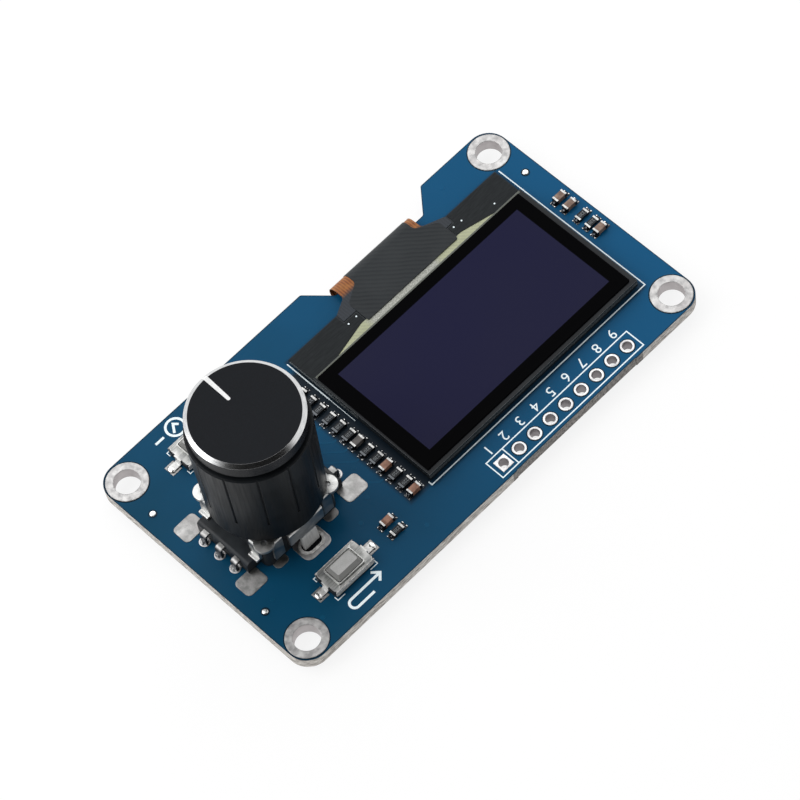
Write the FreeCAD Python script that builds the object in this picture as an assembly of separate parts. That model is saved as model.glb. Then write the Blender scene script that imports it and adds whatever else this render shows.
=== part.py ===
import FreeCAD, Part
import math
import os

# A small display module: a circuit board that carries a glass display on its
# left, a push encoder with a tall knob on its right, two flat keys beside the
# encoder and a row of nine bare pin holes.
# Millimetres. +X runs right and +Y runs up the board as its pin row is read,
# +Z points out of the display. The origin is the centre of the four mounting
# holes, on the underside of the board.

# Layout: the panel's margins and the encoder's place set the board's size
panel_left_margin = 4.55
panel_lower_margin = 5.65
panel_upper_margin = 6.35
panel_to_encoder = 14.52
encoder_to_edge = 11.38

# Circuit board
board_thickness = 1.6
board_corner_radius = 2.7
routed_edge_length = 19.5
routed_edge_depth = 0.08
plating_thickness = 0.05

# Mounting holes, one near each corner
mounting_inset_x = 2.7
mounting_inset_y = 2.8
mounting_hole_radius = 1.6
mounting_land_radius = 2.525

# Row of pin holes along the +Y edge, the one at the +X end with a square land
pin_row_shift_x = -0.295
pin_row_inset = 1.85
pin_pitch = 2.54
pin_count = 9
pin_hole_radius = 0.6
pin_land_radius = 0.85

# Notch in the -Y edge, where the display's cable turns under the board
notch_opening = 19.95
notch_floor_length = 14.54
notch_depth = 3.1
notch_fillet = 0.4

# Display panel, two sheets of glass held down by adhesive tape
glass_length = 34.05
cover_glass_width = 18.75
ledge_width = 4.25
glass_thickness = 0.6
panel_tape_thickness = 0.3
panel_tape_margin = 1.2
polarizer_length = 33.1
polarizer_width = 17.9
polarizer_thickness = 0.2
polarizer_corner_radius = 0.12
polarizer_shift_x = 0.175
polarizer_shift_y = -0.12

# Black tape on the ledge of the rear glass, one piece each side of the cable
ledge_tape_thickness = 0.05
ledge_tape_margin = 0.08
ledge_tape_gap = 0.2
ledge_tape_slope = 1.5
ledge_tape_level_length = 3.0

# Flexible cable and the dark strip on its outer face
cable_shift_x = -0.225
cable_thickness = 0.08
cable_overlap = 3.2
cable_flare_left = 8.5
cable_flare_right = 9.4
cable_flare_length = 1.2
cable_neck_left = 5.65
cable_neck_right = 7.2
cable_bend_setback = 0.28
cable_tail_length = 5.6
strip_thickness = 0.06
strip_length = 14.8
strip_neck_length = 9.7
strip_neck_fillet = 0.8

# Driver chip on the cable's tail, and the joints at the tail's end
driver_length = 10.4
driver_width = 1.5
driver_thickness = 0.3
driver_setback = 1.6
joint_pitch = 0.7
joint_count = 16
joint_width = 0.4
joint_length = 0.9
joint_height = 0.22

# Encoder: moulded base
encoder_standoff = 0.1
flange_length = 14.85
flange_width = 8.2
flange_height = 1.9
flange_rounding = 0.5
base_length = 11.0
base_width = 10.8
base_corner_radius = 0.8
base_height = 4.5
rotor_cavity_radius = 4.6
rotor_cavity_floor = 2.4
push_cavity_radius = 2.5
push_cavity_floor = 0.9
foot_radius = 0.5
foot_spacing = 6.0

# Encoder: folded metal cover
sheet_thickness = 0.4
sheet_fold_radius = 0.35
cover_clearance = 0.05
lobe_radius = 1.2
lobe_reach = 0.25
dimple_radius = 0.33
dimple_depth = 0.15
wall_length = 9.05
wall_bottom = 1.3
wall_slot_width = 0.53
lug_length = 5.15
lug_reach = 0.65
lug_bottom = 2.7
leg_width = 2.25
leg_lean = 0.3
leg_lean_end = 0.3
clamp_width = 1.45
clamp_offset = 3.3
clamp_foot_length = 0.46
clamp_foot_thickness = 0.35
tail_below_board = 1.0

# Encoder: terminals, three on the +X side and two on the -X side
terminal_width = 0.9
terminal_thickness = 0.3
terminal_height = 1.5
terminal_reach = 8.0
terminal_pitch = 2.5
terminal_embedded = 1.5
terminal_bend_radius = 0.45
terminal_hole_radius = 0.5
terminal_land_radius = 0.68
leg_slot_length = 2.65
leg_slot_width = 1.5
leg_land_length = 4.0
leg_land_width = 3.3
leg_land_corner_radius = 0.9
joint_cone_height = 0.6

# Bare tinned lands round the encoder, for another make of encoder
wide_land_length = 3.2
narrow_land_length = 1.9
spare_land_width = 2.6
spare_land_corner_radius = 0.6
wide_land_x = 7.95
narrow_land_x = 3.95
spare_land_y = 5.05

# Encoder: bushing, shaft and what turns with it
bushing_radius = 3.5
bushing_length = 5.0
bushing_spigot_radius = 3.0
bushing_rim_radius = 3.4
bushing_rim_thickness = 0.2
bushing_relief_depth = 0.35
bushing_relief_width = 0.6
bushing_chamfer = 0.4
shaft_guide_radius = 2.5
shaft_tip_radius = 3.0
shaft_flat_distance = 1.5
shaft_length = 15.0
shaft_key_radius = 1.6
shaft_key_flat = 1.2
shaft_chamfer = 0.4
running_clearance = 0.02
sliding_clearance = 0.05
push_travel = 0.5
ring_radius = 3.0
ring_groove_depth = 0.4
ring_thickness = 0.2
ring_opening = 1.6
rotor_radius = 4.3
rotor_disc_thickness = 0.65
rotor_lift = 0.35
rotor_rim_width = 1.1
rotor_lip_width = 0.2
detent_count = 20
detent_height = 0.1
detent_width = 0.3
wiper_thickness = 0.08
wiper_inner_radius = 2.7
wiper_outer_radius = 3.95
wiper_finger_width = 0.8
contact_thickness = 0.06
contact_inner_radius = 2.65
contact_outer_radius = 4.0
spring_thickness = 0.12
spring_ring_width = 0.6
spring_arm_width = 1.4
actuator_radius = 1.5
actuator_thickness = 0.4
push_dome_radius = 2.1
push_dome_thickness = 0.08

# Knob
knob_base_radius = 6.95
knob_shoulder_radius = 7.15
knob_gap = 0.6
knob_body_height = 13.85
knob_wall = 1.2
knob_roof = 0.9
knob_boss_wall = 1.2
knob_boss_gap = 0.9
knob_bore_clearance = 0.02
knob_bore_headroom = 0.05
knob_rib_count = 4
knob_rib_thickness = 0.8
knob_rib_drop = 2.0
knob_flute_count = 12
knob_flute_first_angle = 24.0
knob_flute_width = 0.3
knob_flute_depth = 0.17
knob_flute_start = 3.5
knob_shoulder_break = 0.15
knob_neck_radius = 6.3
knob_neck_height = 0.45
knob_spigot_radius = 5.6
knob_spigot_height = 1.0
cap_radius = 6.8
cap_height = 2.2
cap_top_radius = 6.31
cap_chamfer_height = 0.37
cap_lower_break = 0.2
cap_fit = 0.03
pointer_start = 2.4
pointer_width = 0.6
pointer_inner_width = 0.42
pointer_turn = -1.5
pointer_depth = 0.3

# Keys, one above and one below the encoder
key_shift_x = -0.04
key_inset = 5.5
key_base_length = 6.0
key_base_width = 3.5
key_base_height = 1.0
key_corner_radius = 0.3
key_floor = 0.25
key_cavity_length = 4.3
key_cavity_width = 2.85
key_cover_length = 5.86
key_cover_width = 3.38
key_cover_thickness = 0.2
key_rim_length = 4.07
key_rim_width = 2.7
key_rim_height = 0.25
key_window_length = 3.79
key_window_width = 2.42
key_tab_width = 1.1
key_tab_thickness = 0.14
key_tab_gap = 0.1
plunger_flange_margin = 0.12
plunger_gap = 0.1
plunger_window_gap = 0.07
plunger_shoulder_height = 1.5
plunger_top_height = 2.1
plunger_top_length = 3.0
plunger_top_width = 1.5
key_travel = 0.25
key_dome_radius = 1.15
key_dome_thickness = 0.06
key_dome_gap = 0.03
key_dome_pressed_height = 0.15
key_lead_width = 0.9
key_lead_thickness = 0.15
key_lead_reach = 1.3
key_lead_embedded = 0.6
key_pad_length = 1.4
key_pad_width = 1.5
key_pad_gap = 0.25

# Chip resistors and capacitors. The two columns beside the panel list each
# chip's place along the panel from its middle, the third from the upper key's.
chip_length = 1.6
chip_width = 0.8
chip_cap_length = 0.24
chip_cap_thickness = 0.02
resistor_height = 0.45
capacitor_height = 0.75
chip_pad_span = 2.5
chip_pad_length = 0.85
chip_pad_width = 0.9
right_column_gap = 2.1
right_resistors = [9.55, 7.98, 4.95, 3.42, 0.45, -1.15, -2.75, -4.45, -5.95, -7.55]
right_capacitors = [10.95, 6.45, 1.85]
left_column_inset = 1.85
left_resistors = [1.62, 0.05]
left_capacitors = [2.95, -1.95, -3.55]
key_column_offset = 7.47
key_resistors = [0.8]
key_capacitors = [-0.8]

# Round test lands near three corners of the board
test_land_radius = 0.375
test_land_inset_x = 1.85
test_land_lower_inset = 8.0
test_land_upper_inset = 8.6

# Board size and centres worked out from the layout
rear_glass_width = cover_glass_width + ledge_width
board_length = panel_left_margin + glass_length + panel_to_encoder + encoder_to_edge
board_width = panel_lower_margin + rear_glass_width + panel_upper_margin
panel_center_x = -board_length / 2 + panel_left_margin + glass_length / 2
panel_center_y = -board_width / 2 + panel_lower_margin + rear_glass_width / 2
encoder_x = board_length / 2 - encoder_to_edge
encoder_y = 0.0
key_x = encoder_x + key_shift_x
key_y = board_width / 2 - key_inset

# Heights worked out from the sizes above
board_top = board_thickness
panel_bottom = board_top + panel_tape_thickness
ledge_top = panel_bottom + glass_thickness
cover_glass_top = ledge_top + glass_thickness
cover_top = base_height + sheet_thickness
bushing_top = cover_top + bushing_length
knob_bottom = cover_top + knob_gap
knob_shoulder = knob_bottom + knob_body_height
cap_bottom = knob_shoulder + knob_neck_height
cap_top = cap_bottom + cap_height
shaft_tip = cover_top + shaft_length


def outline(corners, place):
    """A flat face inside corners (u, v, radius), each rounded to its radius."""
    points = [FreeCAD.Vector(u, v, 0) for u, v, radius in corners]
    edges = []
    starts = []
    ends = []
    for index, (u, v, radius) in enumerate(corners):
        here = points[index]
        back = (points[index - 1] - here).normalize()
        ahead = (points[(index + 1) % len(points)] - here).normalize()
        half_angle = back.getAngle(ahead) / 2
        run = radius / math.tan(half_angle)
        start = here + back * run
        end = here + ahead * run
        if radius > 0:
            middle = here + (back + ahead).normalize() * (radius / math.sin(half_angle) - radius)
            arc = Part.Arc(place(start), place(middle), place(end))
            edges.append(arc.toShape())
        starts.append(start)
        ends.append(end)
    for index, end in enumerate(ends):
        start = starts[(index + 1) % len(starts)]
        if end.distanceToPoint(start) > 1e-6:
            edges.append(Part.LineSegment(place(end), place(start)).toShape())
    return Part.Face(Part.Wire(Part.__sortEdges__(edges)))


def plate(corners, bottom, top):
    """A plate with its outline in X and Y."""
    face = outline(corners, lambda point: FreeCAD.Vector(point.x, point.y, bottom))
    return face.extrude(FreeCAD.Vector(0, 0, top - bottom))


def section_along_x(corners, start, end):
    """A bar whose section has its outline in Y and Z."""
    face = outline(corners, lambda point: FreeCAD.Vector(start, point.x, point.y))
    return face.extrude(FreeCAD.Vector(end - start, 0, 0))


def section_along_y(corners, start, end):
    """A bar whose section has its outline in X and Z."""
    face = outline(corners, lambda point: FreeCAD.Vector(point.x, start, point.y))
    return face.extrude(FreeCAD.Vector(0, end - start, 0))


def sharp(corners):
    """The same corners, none of them rounded."""
    return [(u, v, 0) for u, v in corners]


def rectangle(length, width, radius=0.0, x=0.0, y=0.0):
    """The four corners of a rectangle about x, y."""
    half_length = length / 2
    half_width = width / 2
    signs = [(-1, -1), (1, -1), (1, 1), (-1, 1)]
    return [(x + sx * half_length, y + sy * half_width, radius) for sx, sy in signs]


def block(x0, x1, y0, y1, z0, z1):
    """A box between two corners."""
    return Part.makeBox(x1 - x0, y1 - y0, z1 - z0, FreeCAD.Vector(x0, y0, z0))


def disc(radius, bottom, top, x=0.0, y=0.0):
    """An upright cylinder."""
    return Part.makeCylinder(radius, top - bottom, FreeCAD.Vector(x, y, bottom))


def ring(outer, inner, bottom, top, x=0.0, y=0.0):
    """A flat ring or an upright tube."""
    return disc(outer, bottom, top, x, y).cut(disc(inner, bottom, top, x, y))


def turned(profile):
    """A solid turned about Z from a closed profile of (radius, height) points."""
    points = [FreeCAD.Vector(radius, 0, height) for radius, height in profile]
    face = Part.Face(Part.makePolygon(points + points[:1]))
    return face.revolve(FreeCAD.Vector(0, 0, 0), FreeCAD.Vector(0, 0, 1), 360)


def taper(lower, upper, bottom, top):
    """A solid between a lower and an upper outline of as many corners."""
    lower_face = outline(lower, lambda point: FreeCAD.Vector(point.x, point.y, bottom))
    upper_face = outline(upper, lambda point: FreeCAD.Vector(point.x, point.y, top))
    return Part.makeLoft([lower_face.OuterWire, upper_face.OuterWire], True, True)


def joined(shapes):
    """Several shapes fused to one, with no seams left between flush faces."""
    return shapes[0].multiFuse(shapes[1:]).removeSplitter()


def mirrored_y(shape):
    """The same shape on the other side of the X axis."""
    return shape.mirror(FreeCAD.Vector(0, 0, 0), FreeCAD.Vector(0, 1, 0))


def turned_by(shape, degrees):
    """The same shape turned about Z."""
    copy = shape.copy()
    copy.rotate(FreeCAD.Vector(0, 0, 0), FreeCAD.Vector(0, 0, 1), degrees)
    return copy


def on_board(shape, x, y):
    """A shape built on its own axis, set down on the board at x, y."""
    return shape.translated(FreeCAD.Vector(x, y, board_top))


def at_encoder(shape):
    return on_board(shape, encoder_x, encoder_y)


def save(name, solids):
    """Write one node, which is one solid or a group of separate like ones."""
    shape = solids[0] if len(solids) == 1 else Part.makeCompound(solids)
    shape.exportStep("parts/" + name + ".step")


# Places worked out from the sizes above

mounting_places = []
for side_x in (-1, 1):
    for side_y in (-1, 1):
        x = side_x * (board_length / 2 - mounting_inset_x)
        y = side_y * (board_width / 2 - mounting_inset_y)
        mounting_places.append((x, y))

pin_row_x = panel_center_x + pin_row_shift_x
pin_row_y = board_width / 2 - pin_row_inset
pin_places = []
for pin in range(pin_count):
    pin_places.append((pin_row_x + (pin - (pin_count - 1) / 2) * pin_pitch, pin_row_y))

cable_x = panel_center_x + cable_shift_x
notch_floor_y = -board_width / 2 + notch_depth
glass_edge_y = panel_center_y - rear_glass_width / 2
cover_glass_y = panel_center_y + (rear_glass_width - cover_glass_width) / 2
cover_glass_edge_y = cover_glass_y - cover_glass_width / 2

terminal_places = [(terminal_reach, side * terminal_pitch) for side in (-1, 0, 1)]
terminal_places += [(-terminal_reach, side * terminal_pitch) for side in (-1, 1)]

wall_face_y = base_width / 2 + cover_clearance + sheet_thickness
clamp_face_x = base_length / 2 + cover_clearance + sheet_thickness
lug_face_y = wall_face_y + lug_reach
leg_face_y = lug_face_y + leg_lean
leg_slot_y = leg_face_y - sheet_thickness / 2

key_places = {"upper_key": (key_x, key_y), "lower_key": (key_x, -key_y)}
key_pad_x = key_base_length / 2 + key_pad_gap + key_pad_length / 2

right_column_x = panel_center_x + glass_length / 2 + right_column_gap
left_column_x = -board_length / 2 + left_column_inset
key_column_x = encoder_x - key_column_offset

resistor_places = [(right_column_x, panel_center_y + offset) for offset in right_resistors]
resistor_places += [(left_column_x, panel_center_y + offset) for offset in left_resistors]
resistor_places += [(key_column_x, key_y + offset) for offset in key_resistors]
capacitor_places = [(right_column_x, panel_center_y + offset) for offset in right_capacitors]
capacitor_places += [(left_column_x, panel_center_y + offset) for offset in left_capacitors]
capacitor_places += [(key_column_x, key_y + offset) for offset in key_capacitors]

test_x = board_length / 2 - test_land_inset_x
test_low_y = -board_width / 2 + test_land_lower_inset
test_high_y = board_width / 2 - test_land_upper_inset
test_places = [(-test_x, test_low_y), (test_x, test_low_y), (test_x, test_high_y)]


def circuit_board():
    """The laminate: routed corners, the notch, and every hole and slot."""
    left = -board_length / 2
    right = board_length / 2
    low = -board_width / 2
    high = board_width / 2
    routed_y = high - routed_edge_depth
    corners = [
        (left, low, board_corner_radius),
        (cable_x - notch_opening / 2, low, notch_fillet),
        (cable_x - notch_floor_length / 2, notch_floor_y, notch_fillet),
        (cable_x + notch_floor_length / 2, notch_floor_y, notch_fillet),
        (cable_x + notch_opening / 2, low, notch_fillet),
        (right, low, board_corner_radius),
        (right, high, board_corner_radius),
        (cable_x + routed_edge_length / 2, high, 0),
        (cable_x + routed_edge_length / 2, routed_y, 0),
        (cable_x - routed_edge_length / 2, routed_y, 0),
        (cable_x - routed_edge_length / 2, high, 0),
        (left, high, board_corner_radius),
    ]
    board = plate(corners, 0, board_top)
    holes = []
    for x, y in mounting_places:
        holes.append(disc(mounting_hole_radius + plating_thickness, 0, board_top, x, y))
    for x, y in pin_places:
        holes.append(disc(pin_hole_radius + plating_thickness, 0, board_top, x, y))
    for x, y in terminal_places:
        radius = terminal_hole_radius + plating_thickness
        holes.append(disc(radius, 0, board_top, encoder_x + x, encoder_y + y))
    for side in (-1, 1):
        holes.append(leg_slot(side, plating_thickness))
    return board.cut(Part.makeCompound(holes))


def leg_slot(side, growth):
    """The slot for one board leg of the encoder's cover, through the board."""
    length = leg_slot_length + 2 * growth
    width = leg_slot_width + 2 * growth
    y = encoder_y + side * leg_slot_y
    return plate(rectangle(length, width, width / 2 - 0.01, encoder_x, y), 0, board_top)


def plated_hole(x, y, hole_radius, top_land, bottom_land):
    """A plated barrel with a land on each face of the board."""
    barrel = disc(hole_radius + plating_thickness, 0, board_top, x, y)
    upper = plate(top_land, board_top, board_top + plating_thickness)
    lower = plate(bottom_land, -plating_thickness, 0)
    bore = disc(hole_radius, -plating_thickness, board_top + plating_thickness, x, y)
    return joined([barrel, upper, lower]).cut(bore)


def ringed_hole(x, y, hole_radius, land_radius):
    """A plated barrel with a round land on each face of the board."""
    barrel = ring(hole_radius + plating_thickness, hole_radius, 0, board_top, x, y)
    upper = ring(land_radius, hole_radius, board_top, board_top + plating_thickness, x, y)
    lower = ring(land_radius, hole_radius, -plating_thickness, 0, x, y)
    return joined([barrel, upper, lower])


def mounting_hole_plating():
    places = mounting_places
    return [ringed_hole(x, y, mounting_hole_radius, mounting_land_radius) for x, y in places]


def pin_hole_plating():
    """The nine pin holes, the five terminal holes and the two leg slots."""
    pieces = []
    for x, y in pin_places[:-1]:
        pieces.append(ringed_hole(x, y, pin_hole_radius, pin_land_radius))
    x, y = pin_places[-1]
    square = rectangle(2 * pin_land_radius, 2 * pin_land_radius, 0, x, y)
    pieces.append(plated_hole(x, y, pin_hole_radius, square, square))
    for x, y in terminal_places:
        x += encoder_x
        y += encoder_y
        pieces.append(ringed_hole(x, y, terminal_hole_radius, terminal_land_radius))
    for side in (-1, 1):
        y = encoder_y + side * leg_slot_y
        land = rectangle(leg_land_length, leg_land_width, leg_land_corner_radius, encoder_x, y)
        upper = plate(land, board_top, board_top + plating_thickness)
        lower = plate(land, -plating_thickness, 0)
        slot = rectangle(leg_slot_length, leg_slot_width, leg_slot_width / 2 - 0.01, encoder_x, y)
        bore = plate(slot, -plating_thickness, board_top + plating_thickness)
        pieces.append(joined([leg_slot(side, plating_thickness), upper, lower]).cut(bore))
    return pieces


def top_land(corners):
    return plate(corners, board_top, board_top + plating_thickness)


def solder_pads():
    """Every flat tinned land: chips, keys, spare encoder lands and test lands."""
    lands = []
    pad_offset = (chip_pad_span - chip_pad_length) / 2
    for x, y in resistor_places + capacitor_places:
        for side in (-1, 1):
            pad_x = x + side * pad_offset
            lands.append(top_land(rectangle(chip_pad_length, chip_pad_width, 0, pad_x, y)))
    for x, y in key_places.values():
        for side in (-1, 1):
            pad_x = x + side * key_pad_x
            lands.append(top_land(rectangle(key_pad_length, key_pad_width, 0, pad_x, y)))
    for side_x in (-1, 1):
        for side_y in (-1, 1):
            y = encoder_y + side_y * spare_land_y
            for length, offset in ((wide_land_length, wide_land_x), (narrow_land_length, narrow_land_x)):
                x = encoder_x + side_x * offset
                corners = rectangle(length, spare_land_width, spare_land_corner_radius, x, y)
                lands.append(top_land(corners))
    for x, y in test_places:
        lands.append(disc(test_land_radius, board_top, board_top + plating_thickness, x, y))
    for x in joint_places():
        y = tail_end_y() + joint_length / 2
        corners = rectangle(joint_width, 2 * joint_length, 0, x, y)
        lands.append(plate(corners, -plating_thickness, 0))
    return lands


# Display


def display_tape():
    length = glass_length - 2 * panel_tape_margin
    width = rear_glass_width - 2 * panel_tape_margin
    corners = rectangle(length, width, 0, panel_center_x, panel_center_y)
    return plate(corners, board_top, panel_bottom)


def display_rear_glass():
    corners = rectangle(glass_length, rear_glass_width, 0, panel_center_x, panel_center_y)
    return plate(corners, panel_bottom, ledge_top)


def display_cover_glass():
    corners = rectangle(glass_length, cover_glass_width, 0, panel_center_x, cover_glass_y)
    return plate(corners, ledge_top, cover_glass_top)


def display_polarizer():
    x = panel_center_x + polarizer_shift_x
    y = cover_glass_y + polarizer_shift_y
    corners = rectangle(polarizer_length, polarizer_width, polarizer_corner_radius, x, y)
    return plate(corners, cover_glass_top, cover_glass_top + polarizer_thickness)


def display_ledge_tape():
    """Two wings that hide the ledge and slope down towards the cable."""
    low = glass_edge_y + ledge_tape_margin
    high = cover_glass_edge_y - ledge_tape_gap / 4
    top = ledge_top + ledge_tape_thickness
    flare_y = glass_edge_y + cable_flare_length + ledge_tape_gap
    strip_edge = strip_length / 2 + ledge_tape_gap
    pieces = []
    for side, flare in ((-1, cable_flare_left), (1, cable_flare_right)):
        inner = cable_x + side * strip_edge
        outer = panel_center_x + side * (glass_length / 2 - ledge_tape_margin)
        knee = outer - side * ledge_tape_level_length
        flare_edge = cable_x + side * (flare + ledge_tape_gap)
        corners = sharp([
            (inner, high - ledge_tape_slope),
            (knee, high),
            (outer, high),
            (outer, low),
            (flare_edge, low),
            (flare_edge, flare_y),
            (inner, flare_y),
        ])
        pieces.append(plate(corners, ledge_top, top))
    return pieces


def cable_bend():
    """The centre line of the turn: its Y, its height and its inner radius."""
    tail_top = -2 * plating_thickness
    radius = (ledge_top - tail_top) / 2
    return notch_floor_y + cable_bend_setback, tail_top + radius, radius


def tail_end_y():
    return cable_bend()[0] + cable_tail_length


def wrapped_sheet(inner_radius, thickness, top_start, bottom_end, x0, x1):
    """A sheet that lies on the ledge, turns under the board and runs back."""
    y, z, bend_radius = cable_bend()
    outer_radius = inner_radius + thickness

    def at(along, height):
        return FreeCAD.Vector(x0, along, height)

    inner_arc = Part.Arc(at(y, z + inner_radius), at(y - inner_radius, z), at(y, z - inner_radius))
    outer_arc = Part.Arc(at(y, z - outer_radius), at(y - outer_radius, z), at(y, z + outer_radius))
    path = [
        Part.LineSegment(at(top_start, z + inner_radius), at(y, z + inner_radius)),
        inner_arc,
        Part.LineSegment(at(y, z - inner_radius), at(bottom_end, z - inner_radius)),
        Part.LineSegment(at(bottom_end, z - inner_radius), at(bottom_end, z - outer_radius)),
        Part.LineSegment(at(bottom_end, z - outer_radius), at(y, z - outer_radius)),
        outer_arc,
        Part.LineSegment(at(y, z + outer_radius), at(top_start, z + outer_radius)),
        Part.LineSegment(at(top_start, z + outer_radius), at(top_start, z + inner_radius)),
    ]
    face = Part.Face(Part.Wire([edge.toShape() for edge in path]))
    return face.extrude(FreeCAD.Vector(x1 - x0, 0, 0))


def flex_cable():
    """Polyimide cable, flared where it meets the glass and narrow at the bend."""
    y, z, radius = cable_bend()
    start = glass_edge_y + cable_overlap
    left = cable_x - cable_flare_left
    right = cable_x + cable_flare_right
    neck_left = cable_x - cable_neck_left
    neck_right = cable_x + cable_neck_right
    strip_edge = strip_length / 2 - ledge_tape_gap / 2
    flare_top = glass_edge_y + cable_flare_length
    neck_start = (glass_edge_y + y) / 2
    end = y - 2 * radius
    sheet = wrapped_sheet(radius, cable_thickness, start, tail_end_y(), left, right)
    corners = [
        (cable_x - strip_edge, start, 0),
        (cable_x - strip_edge, flare_top, 0),
        (left, flare_top, 0.2),
        (left, glass_edge_y, 0.3),
        (neck_left, neck_start, 0.6),
        (neck_left, end, 0),
        (neck_right, end, 0),
        (neck_right, neck_start, 0.6),
        (right, glass_edge_y, 0.3),
        (right, flare_top, 0.2),
        (cable_x + strip_edge, flare_top, 0),
        (cable_x + strip_edge, start, 0),
    ]
    upper = sheet.common(plate(corners, z, ledge_top + 2 * cable_thickness))
    lower = sheet.common(block(neck_left, neck_right, end, start, z - 2 * radius, z))
    return joined([upper, lower])


def flex_cover():
    """The dark strip on the cable's outer face, round to the start of the tail."""
    y, z, radius = cable_bend()
    start = glass_edge_y + cable_overlap
    outer_radius = radius + cable_thickness
    half = strip_length / 2
    neck = strip_neck_length / 2
    neck_start = (glass_edge_y + y) / 2
    end = y - 2 * radius
    sheet = wrapped_sheet(outer_radius, strip_thickness, start, y + driver_setback / 2,
                          cable_x - half, cable_x + half)
    corners = [
        (cable_x - half, start, 0.3),
        (cable_x - half, glass_edge_y, strip_neck_fillet),
        (cable_x - neck, neck_start - strip_neck_fillet / 2, strip_neck_fillet),
        (cable_x - neck, end, 0),
        (cable_x + neck, end, 0),
        (cable_x + neck, neck_start - strip_neck_fillet / 2, strip_neck_fillet),
        (cable_x + half, glass_edge_y, strip_neck_fillet),
        (cable_x + half, start, 0.3),
    ]
    upper = sheet.common(plate(corners, z, ledge_top + 2 * outer_radius))
    lower = sheet.common(block(cable_x - neck, cable_x + neck, end, start, z - 2 * radius, z))
    return joined([upper, lower])


def display_driver_chip():
    """The chip on the outer face of the cable's tail."""
    y, z, radius = cable_bend()
    top = z - radius - cable_thickness
    low_y = y + driver_setback
    return block(cable_x - driver_length / 2, cable_x + driver_length / 2,
                 low_y, low_y + driver_width, top - driver_thickness, top)


def joint_places():
    middle = (joint_count - 1) / 2
    return [cable_x + (index - middle) * joint_pitch for index in range(joint_count)]


def flex_solder_joints():
    """A row of joints from the tail's end to the lands under the board."""
    start = tail_end_y()
    end = start + joint_length
    top = -plating_thickness
    bottom = -joint_height
    pieces = []
    for x in joint_places():
        corners = [
            (x - joint_width / 2, top, 0),
            (x + joint_width / 2, top, 0),
            (x + joint_width / 2, bottom, 0.1),
            (x - joint_width / 2, bottom, 0.1),
        ]
        pieces.append(section_along_y(corners, start, end))
    return pieces


# Encoder, built about its own axis with the top of the board at height 0


def encoder_base():
    """The moulding: a rounded flange, the body inside the cover and its cavities."""
    half = flange_length / 2
    flange_section = [
        (-half, encoder_standoff, 0),
        (half, encoder_standoff, 0),
        (half, flange_height, flange_rounding),
        (-half, flange_height, flange_rounding),
    ]
    flange = section_along_y(flange_section, -flange_width / 2, flange_width / 2)
    body = plate(rectangle(base_length, base_width, base_corner_radius), encoder_standoff, base_height)
    feet = []
    for side_x in (-1, 1):
        for side_y in (-1, 1):
            x = side_x * foot_spacing / 2
            y = side_y * foot_spacing / 2
            feet.append(disc(foot_radius, 0, encoder_standoff, x, y))
    solid = joined([flange, body] + feet)
    recess_radius = spring_outer_radius() + sliding_clearance
    cavities = [
        disc(recess_radius, base_height - spring_thickness, base_height),
        disc(rotor_cavity_radius, rotor_cavity_floor, base_height),
        disc(push_cavity_radius, push_cavity_floor, base_height),
    ]
    cavities += [terminal_shank(x, y) for x, y in terminal_places]
    return at_encoder(solid.cut(Part.makeCompound(cavities)))


def terminal_shank(x, y):
    """The level part of a terminal, inside the flange."""
    side = math.copysign(1, x)
    inner = side * (flange_length / 2 - terminal_embedded)
    outer = side * flange_length / 2
    x0, x1 = sorted((inner, outer))
    low = terminal_height - terminal_thickness / 2
    high = terminal_height + terminal_thickness / 2
    return block(x0, x1, y - terminal_width / 2, y + terminal_width / 2, low, high)


def encoder_terminals():
    """Five bent strips, from inside the flange down through the board."""
    low = terminal_height - terminal_thickness / 2
    high = terminal_height + terminal_thickness / 2
    tail = -board_thickness - tail_below_board
    pieces = []
    for x, y in terminal_places:
        side = math.copysign(1, x)
        inner = side * (flange_length / 2 - terminal_embedded)
        outer = x + side * terminal_thickness / 2
        face = x - side * terminal_thickness / 2
        corners = [
            (inner, high, 0),
            (outer, high, terminal_bend_radius),
            (outer, tail, 0),
            (face, tail, 0),
            (face, low, terminal_bend_radius - terminal_thickness),
            (inner, low, 0),
        ]
        strip = section_along_y(corners, y - terminal_width / 2, y + terminal_width / 2)
        pieces.append(at_encoder(strip))
    return pieces


def folded_wall(face, bottom):
    """Section of a wall that is folded down from the edge of the top plate."""
    inner = face - sheet_thickness
    root = inner - sheet_thickness
    return [
        (root, base_height, 0),
        (inner, base_height, 0),
        (inner, bottom, 0),
        (face, bottom, 0),
        (face, cover_top, sheet_fold_radius),
        (root, cover_top, 0),
    ]


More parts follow.
